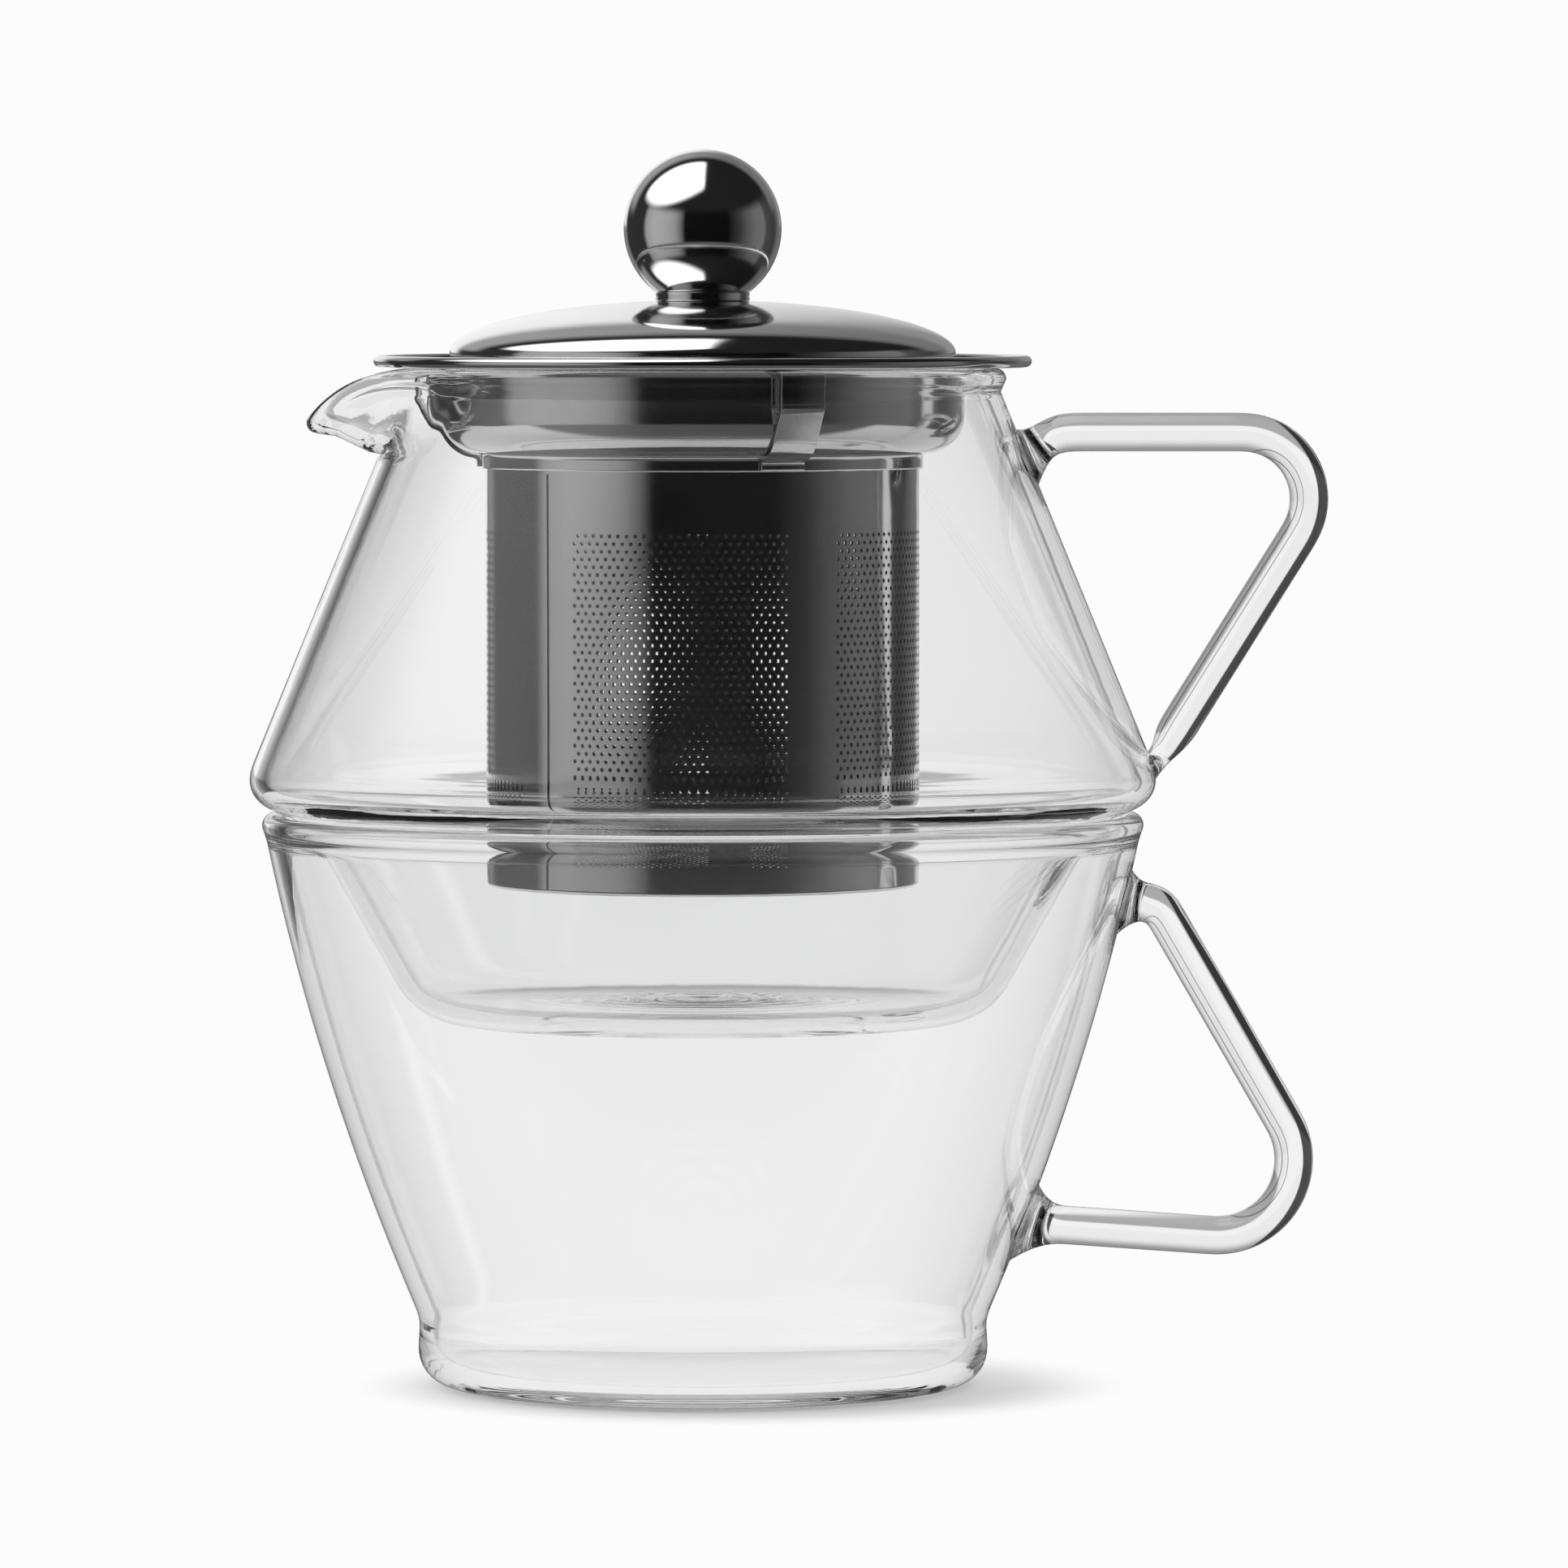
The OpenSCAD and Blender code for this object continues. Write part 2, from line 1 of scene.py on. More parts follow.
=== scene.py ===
"""Tea-for-one set: a glass pot nested in a glass cup, with a steel strainer and a knobbed steel lid.

Lengths in the shape functions are millimetres in the part's own frame (+Z up, foot on z = 0,
spout to -X, handles to +X) and are turned into metres when a mesh is made.
"""
import math
import bpy
import bmesh
import numpy as np
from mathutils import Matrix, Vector


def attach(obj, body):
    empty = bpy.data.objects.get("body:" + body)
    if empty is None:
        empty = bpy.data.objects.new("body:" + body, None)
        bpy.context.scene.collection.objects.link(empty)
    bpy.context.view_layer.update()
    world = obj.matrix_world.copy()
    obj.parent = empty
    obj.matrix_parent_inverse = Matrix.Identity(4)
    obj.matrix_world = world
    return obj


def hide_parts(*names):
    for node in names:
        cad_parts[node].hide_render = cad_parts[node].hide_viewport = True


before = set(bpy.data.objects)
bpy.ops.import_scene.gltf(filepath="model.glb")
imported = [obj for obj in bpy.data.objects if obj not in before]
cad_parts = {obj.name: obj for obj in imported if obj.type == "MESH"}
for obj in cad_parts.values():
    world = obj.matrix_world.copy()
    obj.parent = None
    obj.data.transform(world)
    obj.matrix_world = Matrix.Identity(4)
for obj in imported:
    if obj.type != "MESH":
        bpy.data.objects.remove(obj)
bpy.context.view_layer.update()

MM = 0.001
TURN = 2 * np.pi


# ---------------------------------------------------------------- shapes
def arc(centre, radius, start, end, steps):
    """Points on a round: centre + radius * (cos, sin) of an angle that runs evenly in degrees.
    A negative radius walks the hollow side of a round."""
    a = np.radians(np.linspace(start, end, steps + 1))
    return np.stack([centre[0] + radius * np.cos(a), centre[1] + radius * np.sin(a)], 1)


def touch_angle(centre, radius, point):
    """Angle of the normal of the line from point that just touches the round from outside:
    the direction from centre to point, less the arc cosine of radius over distance."""
    d = np.subtract(point, centre)
    return math.degrees(math.atan2(d[1], d[0]) - math.acos(radius / np.hypot(*d)))


def normals_of(line):
    """Unit normals on the right of a polyline: its direction, by central differences, turned back
    by a quarter turn."""
    t = np.gradient(line, axis=0)
    n = np.stack([t[:, 1], -t[:, 0]], 1)
    return n / np.linalg.norm(n, axis=1, keepdims=True)


def resample(line, step):
    """The same line with points every step along its length, by linear interpolation."""
    seg = np.r_[0, np.cumsum(np.hypot(*np.diff(line, axis=0).T))]
    s = np.linspace(0, seg[-1], max(2, int(round(seg[-1] / step))) + 1)
    return np.stack([np.interp(s, seg, line[:, 0]), np.interp(s, seg, line[:, 1])], 1)


def soften(line, times):
    """Each inner point moves to the mean of itself (half) and its neighbours (a quarter each)."""
    line = line.copy()
    for _ in range(times):
        line[1:-1] = 0.5 * line[1:-1] + 0.25 * (line[:-2] + line[2:])
    return line


def build(name, points, faces, body, nodes, material, flat=()):
    """A finished piece: points in millimetres, faces as index rows of three or four, or lists.
    Faces whose index is in flat have creased edges, so that the sheet round them stays round."""
    mesh = bpy.data.meshes.new(name)
    mesh.from_pydata((np.asarray(points, float) * MM).tolist(), [], [list(map(int, f)) for f in faces])
    mesh.validate()
    mesh.calc_loop_triangles()
    corners = np.empty(len(mesh.loop_triangles) * 3, np.int32)
    mesh.loop_triangles.foreach_get("vertices", corners)
    place = np.asarray(points, float)[corners.reshape(-1, 3)]
    if np.einsum("ij,ij->", place[:, 0], np.cross(place[:, 1], place[:, 2])) < 0:
        mesh.flip_normals()
    mesh.polygons.foreach_set("use_smooth", [True] * len(mesh.polygons))
    if len(flat):
        # An edge is sharp where both its ends lie on flat faces
        edged = np.zeros(len(points), bool)
        edged[np.unique([corner for i in flat for corner in faces[i]])] = True
        ends = np.empty(len(mesh.edges) * 2, np.int32)
        mesh.edges.foreach_get("vertices", ends)
        mesh.edges.foreach_set("use_edge_sharp", edged[ends.reshape(-1, 2)].all(1))
    mesh.materials.append(material)
    piece = bpy.data.objects.new(name, mesh)
    bpy.context.scene.collection.objects.link(piece)
    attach(piece, body)
    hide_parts(*nodes)
    return piece


def pierce(piece, centre, radius, height):
    """Cuts an upright round hole through a piece."""
    mesh = bpy.data.meshes.new("drill")
    shape = bmesh.new()
    bmesh.ops.create_cone(shape, cap_ends=True, segments=32, radius1=radius * MM, radius2=radius * MM,
                          depth=height * MM)
    shape.to_mesh(mesh)
    shape.free()
    drill = bpy.data.objects.new("drill", mesh)
    bpy.context.scene.collection.objects.link(drill)
    drill.location = np.multiply(centre, MM)
    change = piece.modifiers.new("hole", "BOOLEAN")
    change.operation, change.solver, change.object = "DIFFERENCE", "EXACT", drill
    view = bpy.context.evaluated_depsgraph_get()
    cut = bpy.data.meshes.new_from_object(piece.evaluated_get(view))
    piece.modifiers.remove(change)
    cut.name = piece.data.name
    piece.data = cut
    bpy.data.objects.remove(drill)


def grid_faces(rows, cols, wrap_rows=False):
    """Quads between neighbouring rows of a grid whose columns close on themselves."""
    i = np.arange(rows if wrap_rows else rows - 1)[:, None]
    j = np.arange(cols)[None, :]
    k, l = (i + 1) % rows, (j + 1) % cols
    quads = np.stack([i * cols + j, i * cols + l, k * cols + l, k * cols + j], -1)
    return quads.reshape(-1, 4)


def turned(profile, cols, shape=None, crowd=0.0):
    """A turned solid. profile is a closed or axis-to-axis outline (radius, height) walked with the
    solid on its left seen from +Y; each point is carried round the axis: (r cos a, r sin a, z).
    The angles are even ones less crowd / 2 times the sine of twice the angle, which sets more of
    them towards -X and +X. shape(r, z, a) may bend each ring. Points on the axis become poles."""
    profile = np.asarray(profile, float)
    on_axis = profile[0, 0] < 1e-6
    ring = profile[1:-1] if on_axis else profile
    a = np.arange(cols) / cols * TURN
    a = a - crowd / 2 * np.sin(2 * a)
    r, z, a = np.broadcast_arrays(ring[:, :1], ring[:, 1:], a[None, :])
    if shape:
        r, z = shape(r, z, a)
    points = np.stack([r * np.cos(a), r * np.sin(a), z], -1).reshape(-1, 3)
    rows = len(ring)
    if not on_axis:
        return points, grid_faces(rows, cols, wrap_rows=True)
    points = np.vstack([points, [0, 0, profile[0, 1]], [0, 0, profile[-1, 1]]])
    j = np.arange(cols)
    l = (j + 1) % cols
    n = rows * cols
    low = np.stack([np.full(cols, n), l, j], 1)
    high = np.stack([np.full(cols, n + 1), n - cols + j, n - cols + l], 1)
    return points, list(grid_faces(rows, cols)) + list(low) + list(high)


# ---------------------------------------------------------------- sizes, as in the solids
# Glass walls, rods, the gap between pieces that rest on each other, a rod's depth in its wall
WALL, ROD, SEAT, WELD_SINK = 2.0, 2.5, 0.3, 0.3
# Cup
CUP_RIM, CUP_RIM_Z, CUP_BEAD = 57.0, 72.6, 1.5
WAIST, WAIST_Z, BELLY, FOOT_ROUND, CUP_FLOOR = 36.6, 8.4, 1.75, 4.5, 2.4
CUP_BEND, CUP_BEND_R, CUP_KNEE_R = (66.7, 29.1), 9.9, 3.2
CUP_ARM_LEAN, CUP_ARM_FALL, CUP_WELD_Z = 30, 4, 62.5
# Pot
BELT, BELT_ROUND, RISE, CONE_H = 58.7, 3.8, 23.5, 53.1
MOUTH, BEAD, NECK_LOW, NECK_IN = 39.2, 1.25, 3, 0.7
BOWL_TOP, BOWL_DEPTH, BOWL_FLOOR, BOWL_ROUND, HOLLOW, FLOOR_RISE = 51.2, 25.4, 31.6, 9.0, 4.0, 1.4
SPOUT_REACH, SPOUT_DROP, SPOUT_H, SPOUT_HALF = 12.0, 5.8, 10.9, 32.0
POT_BEND_X, POT_BEND_DROP, POT_BEND_R, POT_ARM_LEAN = 69.8, 16.8, 8.6, 32
# Strainer
TUBE, SHEET, COLLAR_SHEET, STRAINER_L = 28.0, 0.4, 0.5, 66.5
COLLAR, COLLAR_H, COLLAR_ROUND, FLANGE, ROLL = 33.8, 13.5, 4.9, 42.5, 0.75
COLLAR_NECK_H, COLLAR_NECK_ROUND, FLANGE_ROUND = 2.1, 0.4, 1.2
SPRING_SHEET, SPRING_LOW, SPRING_UPRIGHT, MOUTH_PLAY, SPRING_AT = 0.45, 1, 4.4, 0.5, -69.4
# Lid and knob
LID, DOME_H, LID_SHEET, SKIRT_ABOVE, VENT, VENT_X = 32.7, 6.8, 0.6, 1.2, 0.9, -18.8
BALL, NECK, NECK_H, SCREW_HOLE, THREAD = 10.2, 6.1, 1.2, 2.05, 8

# ---------------------------------------------------------------- cup
climb = CUP_RIM_Z - CUP_BEAD - WAIST_Z
run = CUP_RIM - CUP_BEAD + WALL / 2 - WAIST


def cup_wall(t):
    """The cup's outer wall: a straight line from waist to rim, bowed out by a parabola."""
    return np.stack([WAIST + run * t + BELLY * 4 * t * (1 - t), WAIST_Z + climb * t], -1)


def cup_radius(z):
    """Radius of the cup's outer wall at a height, taking the height for the way up the line."""
    return cup_wall((np.asarray(z) - WAIST_Z) / climb)[..., 0]


foot_r = WAIST + 0.35
wall = cup_wall(np.linspace(0, 1, 60))
cup_outside = soften(resample(np.vstack([
    [[0, 0]], arc((foot_r - FOOT_ROUND, FOOT_ROUND), FOOT_ROUND, -90, 0, 24),
    [[foot_r, FOOT_ROUND + 0.6]], wall]), 0.8), 3)
cup_inside = soften(resample(np.vstack([
    (wall - WALL * normals_of(wall))[::-1],
    arc((foot_r - FOOT_ROUND, FOOT_ROUND + CUP_FLOOR - WALL), FOOT_ROUND - WALL, 0, -90, 12),
    [[0, CUP_FLOOR]]]), 0.8), 3)
cup_profile = np.vstack([
    cup_outside[:-1], arc((CUP_RIM - CUP_BEAD, CUP_RIM_Z), CUP_BEAD, -30, 210, 30), cup_inside[1:]])

# ---------------------------------------------------------------- pot
rise = math.radians(RISE)
belt_c = (BELT - BELT_ROUND, CUP_RIM_Z + (BELT_ROUND + CUP_BEAD + SEAT
          + (BELT - BELT_ROUND - CUP_RIM + CUP_BEAD) * math.sin(rise)) / math.cos(rise))
MOUTH_Z = belt_c[1] + CONE_H
neck_at = (MOUTH - NECK_IN, MOUTH_Z - NECK_LOW)
cone_a = touch_angle(belt_c, BELT_ROUND, neck_at)
bowl_top = np.array([BOWL_TOP, belt_c[1] - BELT_ROUND / math.cos(rise)
                     - (belt_c[0] - BOWL_TOP) * math.tan(rise)])
floor_z = bowl_top[1] - BOWL_DEPTH
bowl_c = (BOWL_FLOOR, floor_z + BOWL_ROUND)
bowl_a = touch_angle(bowl_c, BOWL_ROUND, bowl_top)
n0, n1 = (np.array([math.cos(math.radians(a)), math.sin(math.radians(a))]) for a in (RISE - 90, bowl_a))
hollow_c = bowl_top + HOLLOW * (n0 + n1) / (1 + n0 @ n1)
s = np.linspace(0.04, 0.98, 40)
dome = np.stack([BOWL_FLOOR * s, floor_z + FLOOR_RISE * (1 + np.cos(np.pi * s)) / 2], 1)
spout_z = MOUTH_Z - SPOUT_H
pot_outside = resample(np.vstack([
    dome,
    arc(bowl_c, BOWL_ROUND, -90, bowl_a, 30),
    arc(hollow_c, -HOLLOW, bowl_a, RISE - 90, 16),
    arc(belt_c, BELT_ROUND, RISE - 90, cone_a, 30),
    [neck_at]]), 0.7)
pot_outside = soften(pot_outside, 3)
pot_inside = (pot_outside - WALL * normals_of(pot_outside))[::-1]
# Rings from the working of the floor's middle, left in the glass inside the bowl
low = (pot_inside[:, 1] < floor_z + 5) & (pot_inside[:, 0] < 26)
ripple = np.sin(pot_inside[:, 0] / 3.1 * TURN) * np.exp(-((pot_inside[:, 0] - 8) / 9) ** 2)
pot_inside[:, 1] += np.where(low, 0.3 * ripple, 0)
pot_profile = np.vstack([
    [[0, floor_z + FLOOR_RISE]], pot_outside,
    arc((MOUTH - BEAD, MOUTH_Z - BEAD), BEAD, -10, 190, 24),
    pot_inside, [[0, pot_inside[-1, 1] - 0.01]]])


def poured(r, z, a):
    """The spout. Above its crease the wall's middle moves outwards, by the reach times a squared
    cosine of the angle from the lip's middle times the share of the height, and down by the cubed
    share. Points beside the middle turn with it, so the glass keeps its thickness and its bead."""
    off = np.degrees(np.abs(np.angle(np.exp(1j * (a - np.pi)))))
    share = np.where(off < SPOUT_HALF, np.cos(np.radians(90 * np.minimum(off / SPOUT_HALF, 1))) ** 2, 0)
    top = MOUTH_Z - BEAD

    def shift(height):
        """How far the wall's middle moves outwards and down at a height. The share of the height is
        held back near the crease: until it reaches 0.25, or 0.85 at the spout's sides, it is
        multiplied by the power 0.45 of how far it has come."""
        up = np.clip((height - spout_z) / (top - spout_z), 0, None)
        up = up * np.clip(up / (0.25 + 0.6 * (1 - share)), 0, 1) ** 0.45
        return SPOUT_REACH * share * up, -SPOUT_DROP * share ** 3 * up

    base_z = np.minimum(z, top)
    neck = neck_at[1]
    below = float(pot_radius(neck)) - WALL / 2
    base_r = np.where(z > neck, np.interp(base_z, [neck, top], [below, MOUTH - BEAD]),
                      pot_radius(base_z) - WALL / 2)
    step = 0.4
    lean = -step * math.tan(math.radians(cone_a))
    (r0, z0), (r1, z1) = shift(base_z - step / 2), shift(base_z + step / 2)
    turn = np.arctan2(lean + r1 - r0, step + z1 - z0) - math.atan2(lean, step)
    here = shift(base_z)
    dr, dz = r - base_r, z - base_z
    move = (share > 0) & (z > spout_z - 1)
    return (np.where(move, base_r + here[0] + dr * np.cos(turn) + dz * np.sin(turn), r),
            np.where(move, base_z + here[1] - dr * np.sin(turn) + dz * np.cos(turn), z))


def dented(r, z, a, outer, welds):
    """Where a rod is fused on, the wall's inner side stands in by a round, flat-topped swelling:
    depth times exp(-(distance / width)^6), from the weld's height and the way round the wall."""
    inner = (r < outer(z) - WALL / 2) & (np.cos(a) > 0)
    for height, depth, width in welds:
        distance = np.hypot(z - height, r * np.sin(a))
        r = r - np.where(inner, depth * np.exp(-(distance / width) ** 6), 0)
    return r


def outline_radius(outline):
    """Radius of an outline at a height, for the stretch where it climbs."""
    o = outline[np.argsort(outline[:, 1])]
    return lambda z: np.interp(z, o[:, 1], o[:, 0])


pot_radius = outline_radius(pot_outside[pot_outside[:, 1] > bowl_top[1] + 0.5])


# ---------------------------------------------------------------- rods bent into handles
def rod_piece(path, radii, wall_radius, cols=40):
    """A bent glass rod whose two ends melt into a round wall. Rings stand square to the path in
    the plane y = 0: centre + radius * (cos t along Y + sin t along the in-plane normal). The first
    and last ring slide level towards the axis until they lie inside the wall."""
    path, radii = np.asarray(path, float), np.asarray(radii, float)
    t = np.gradient(path, axis=0)
    t /= np.linalg.norm(t, axis=1, keepdims=True)
    n = np.stack([-t[:, 1], t[:, 0]], 1)
    a = np.arange(cols) / cols * TURN
    x = path[:, :1] + radii[:, None] * np.sin(a) * n[:, :1]
    z = path[:, 1:] + radii[:, None] * np.sin(a) * n[:, 1:]
    y = radii[:, None] * np.cos(a) + 0 * x
    for end in (0, -1):
        lo, hi = np.full(cols, -9.0), np.full(cols, 9.0)
        for _ in range(40):
            mid = (lo + hi) / 2
            out = np.hypot(x[end] - mid, y[end]) > wall_radius(z[end]) - WELD_SINK
            lo, hi = np.where(out, mid, lo), np.where(out, hi, mid)
        shift = (lo + hi) / 2
        # Rings behind the end follow it, less and less, so that the flare stays smooth
        reach = 14
        for k in range(reach):
            row = k if end == 0 else -1 - k
            x[row] -= (1 - k / reach) ** 2 * shift
    rows = len(path)
    points = np.stack([x, y, z], -1)
    caps = [points[0].mean(0), points[-1].mean(0)]
    points = np.vstack([points.reshape(-1, 3), caps])
    j = np.arange(cols)
    l = (j + 1) % cols
    m = rows * cols
    first = np.stack([np.full(cols, m), l, j], 1)
    last = np.stack([np.full(cols, m + 1), m - cols + j, m - cols + l], 1)
    return points, list(grid_faces(rows, cols)) + list(first) + list(last)


def flare(distance, wide, length):
    """Radius of a rod near its weld: it grows from the rod's own to wide within length of the
    wall, as the power 2.2 of how near it is."""
    near = np.clip(1 - distance / length, 0, 1)
    return ROD + (wide - ROD) * near ** 2.2


def along(line):
    """Length of a polyline from its start to each of its points."""
    return np.r_[0, np.cumsum(np.hypot(*np.diff(line, axis=0).T))]


def pot_handle_shape():
    """Level arm out of the wall, a round bend, and a straight arm down to the belt."""
    c = np.array([POT_BEND_X, MOUTH_Z - POT_BEND_DROP])
    r, lean = POT_BEND_R, math.radians(POT_ARM_LEAN)
    arm_z = c[1] + r
    out = np.array([math.cos(lean), -math.sin(lean)])
    down = np.array([-math.sin(lean), -math.cos(lean)])
    low_start = c + r * out
    low_end = low_start + down * (low_start[1] - belt_c[1] - 1.4) / math.cos(lean)
    wall_x = float(pot_radius(arm_z - 2.6))
    line = np.vstack([
        [[wall_x - 0.1, arm_z - 3.4], [wall_x + 0.8, arm_z - 2.6], [wall_x + 2.0, arm_z - 1.4],
         [wall_x + 3.6, arm_z - 0.4], [wall_x + 5.5, arm_z]],
        [[c[0], arm_z]], arc(c, r, 90, -POT_ARM_LEAN, 30), [low_end]])
    line = soften(resample(line, 0.5), 6)
    s = along(line)
    radii = np.maximum(flare(s, 5.2, 5.0), flare(s[-1] - s, 3.7, 3.4))
    return rod_piece(line, radii, pot_radius)


def cup_handle_shape():
    """Slightly falling lower arm, a round bend, a straight arm up and a knee into the wall."""
    c = np.array(CUP_BEND)
    r, knee, lean, fall = CUP_BEND_R, CUP_KNEE_R, math.radians(CUP_ARM_LEAN), math.radians(CUP_ARM_FALL)
    out = np.array([math.cos(lean), math.sin(lean)])
    up = np.array([-math.sin(lean), math.cos(lean)])
    arm = (CUP_WELD_Z - knee - c[1] - (r - knee) * out[1]) / up[1]
    k = c + (r - knee) * out + up * arm
    low_start = c + r * np.array([-math.sin(fall), -math.cos(fall)])
    low_x = float(cup_radius(low_start[1])) + 0.4
    low_end = [low_x, low_start[1] + (low_start[0] - low_x) * math.tan(fall)]
    line = np.vstack([
        [low_end], arc(c, r, -90 - CUP_ARM_FALL, CUP_ARM_LEAN, 30), arc(k, knee, CUP_ARM_LEAN, 90, 12),
        [[float(cup_radius(CUP_WELD_Z)) - 0.1, CUP_WELD_Z]]])
    line = soften(resample(line, 0.5), 3)
    s = along(line)
    radii = np.maximum(flare(s, 5.3, 5.5), flare(s[-1] - s, 4.6, 3.2))
    return rod_piece(line, radii, cup_radius)


# ---------------------------------------------------------------- steel
under = MOUTH_Z + SEAT
collar_low = under - COLLAR_H
strainer_low = under - STRAINER_L
corner = (COLLAR - COLLAR_ROUND, collar_low + COLLAR_NECK_H + COLLAR_ROUND)


def sheet_profile(side, thickness, step, rounding=2):
    """A bent sheet's outline: its outer side, then the same side moved in by the thickness."""
    side = soften(resample(side, step), rounding)
    return side, side - thickness * normals_of(side)


def collar_profile():
    """Outline of the collar: a neck round the tube, the big round, the upright wall, and the
    hanging flange whose edge is rolled."""
    neck, lip = COLLAR_NECK_ROUND, FLANGE_ROUND
    side = np.vstack([
        [[TUBE + COLLAR_SHEET, collar_low + 0.15]],
        arc((TUBE + COLLAR_SHEET + neck, corner[1] - COLLAR_ROUND - neck), -neck, 0, -90, 6),
        arc(corner, COLLAR_ROUND, -90, 0, 30),
        arc((COLLAR + lip, under - lip), -lip, 0, -90, 10),
        [[FLANGE - 2 * ROLL, under]]])
    outer, inner = sheet_profile(side, COLLAR_SHEET, 0.25)
    roll = arc((FLANGE - ROLL, under + ROLL - 0.1), ROLL, -120, 150, 28)
    return np.vstack([outer, roll, inner[::-1]])


def tube_shape():
    """The strainer: a sheet cylinder on a grid of half pitches. Each cell is a six-cornered patch
    (four corners and the middles of its top and bottom edge), every second row is shifted by half
    a pitch, and a cell inside a perforated panel has a six-cornered hole: the patch's corners
    drawn in towards its middle, on both sides of the sheet. Each panel is 25 cells wide."""
    cols, rows, pitch_z, hole = 153, 41, 0.99, 0.29
    panel_cols, gaps = 25, (6, 5, 5, 4, 8)
    first = 110.3 + pitch_z / 2 - rows * pitch_z
    top, bottom = corner[1] - COLLAR_ROUND - 0.05, strainer_low + COLLAR_SHEET + 0.02
    heights = np.r_[bottom, first + pitch_z * np.arange(rows + 1), top]
    half = 2 * cols
    start = math.radians(-126.1)
    angle = start + np.arange(half) / half * TURN
    grid = []
    for radius in (TUBE, TUBE - SHEET):
        a, z = np.meshgrid(angle, heights)
        grid.append(np.stack([radius * np.cos(a), radius * np.sin(a), z], -1).reshape(-1, 3))
    count = len(heights) * half
    k, i = np.meshgrid(np.arange(rows + 2), np.arange(cols), indexing="ij")
    k, i = k.ravel(), i.ravel()
    left = 2 * i + k % 2
    at = lambda row, col: row * half + col % half
    # counter-clockwise seen from outside: bottom left, middle, right, then top right, middle, left
    rim = np.stack([at(k, left), at(k, left + 1), at(k, left + 2),
                    at(k + 1, left + 2), at(k + 1, left + 1), at(k + 1, left)], 1)
    panel = np.zeros(cols, bool)
    place = 0
    for gap in gaps:
        panel[place:place + panel_cols] = True
        place += panel_cols + gap
    holed = panel[i] & (k > 0) & (k <= rows)
    plain = rim[~holed]
    faces = list(plain) + list(plain[:, ::-1] + count)
    rim = rim[holed]
    mid_a = start + (left[holed] + 1) / half * TURN
    mid_z = heights[k[holed]] + pitch_z / 2
    spots = []
    turn6 = np.radians([-150, -90, -30, 30, 90, 150])
    for radius in (TUBE, TUBE - SHEET):
        a = mid_a[:, None] + hole * np.cos(turn6) / TUBE
        z = mid_z[:, None] + hole * np.sin(turn6)
        spots.append(np.stack([radius * np.cos(a), radius * np.sin(a), z], -1).reshape(-1, 3))
    holes = len(rim)
    out_at = 2 * count + np.arange(holes * 6).reshape(holes, 6)
    in_at = out_at + holes * 6
    nxt = np.roll(np.arange(6), -1)
    front = np.stack([rim, rim[:, nxt], out_at[:, nxt], out_at], -1).reshape(-1, 4)
    back = np.stack([rim[:, nxt], rim, in_at, in_at[:, nxt]], -1).reshape(-1, 4)
    back[:, :2] += count
    bore = np.stack([out_at, out_at[:, nxt], in_at[:, nxt], in_at], -1).reshape(-1, 4)
    faces += list(front) + list(back) + list(bore)
    flat = list(range(len(faces) - len(bore), len(faces)))
    j = np.arange(half)
    l = (j + 1) % half
    n = count - half
    flat += range(len(faces), len(faces) + 2 * half)
    faces += list(np.stack([l, j, j + count, l + count], 1))
    faces += list(np.stack([n + j, n + l, n + l + count, n + j + count], 1))
    points = [grid[0], grid[1], spots[0], spots[1]]
    # The lap of the seam: a second thickness over the sheet, ten degrees wide
    steps = 12
    a = np.radians(np.linspace(-144, -134, steps + 1))
    z = np.array([bottom + 0.02, collar_low - 0.3])
    lap = []
    for radius in (TUBE + 0.2, TUBE - 0.1):
        for height in z:
            lap.append(np.stack([radius * np.cos(a), radius * np.sin(a), np.full(len(a), height)], -1))
    base = sum(len(p) for p in points)
    w = steps + 1
    u = base + np.arange(steps)
    ol, oh, il, ih = u, u + w, u + 2 * w, u + 3 * w
    faces += list(np.stack([ol, ol + 1, oh + 1, oh], 1)) + list(np.stack([il + 1, il, ih, ih + 1], 1))
    sides = len(faces)
    faces += list(np.stack([oh, oh + 1, ih + 1, ih], 1)) + list(np.stack([ol + 1, ol, il, il + 1], 1))
    e = base + steps
    faces += [[base, base + w, base + 3 * w, base + 2 * w], [e, e + 2 * w, e + 3 * w, e + w]]
    flat += range(sides, len(faces))
    return np.vstack(points + lap), faces, flat


def base_profile():
    """Outline of the disc that closes the tube: a pressed floor and an upright edge inside it."""
    edge = TUBE - SHEET
    z = strainer_low
    s = np.linspace(0, 1, 16)
    pressed = np.where(s < 0.62, 0.25, 0.25 * np.clip((0.72 - s) / 0.1, 0, 1))
    bottom = np.stack([(TUBE - 1.2) * s, z + pressed], 1)
    inner = np.stack([(edge - 1.2) * s[::-1], z + 0.5 + pressed[::-1]], 1)
    return np.vstack([
        bottom,
        arc((TUBE - 0.5, z + 0.5), 0.5, -90, -5, 6),
        [[edge - 0.02, z + 0.56], [edge - 0.02, z + 3.85], [edge - 0.15, z + 4],
         [edge - 0.35, z + 4], [edge - 0.5, z + 3.85], [edge - 0.5, z + 1.2]],
        arc((edge - 1.2, z + 1.2), 0.7, 0, -80, 5),
        inner])


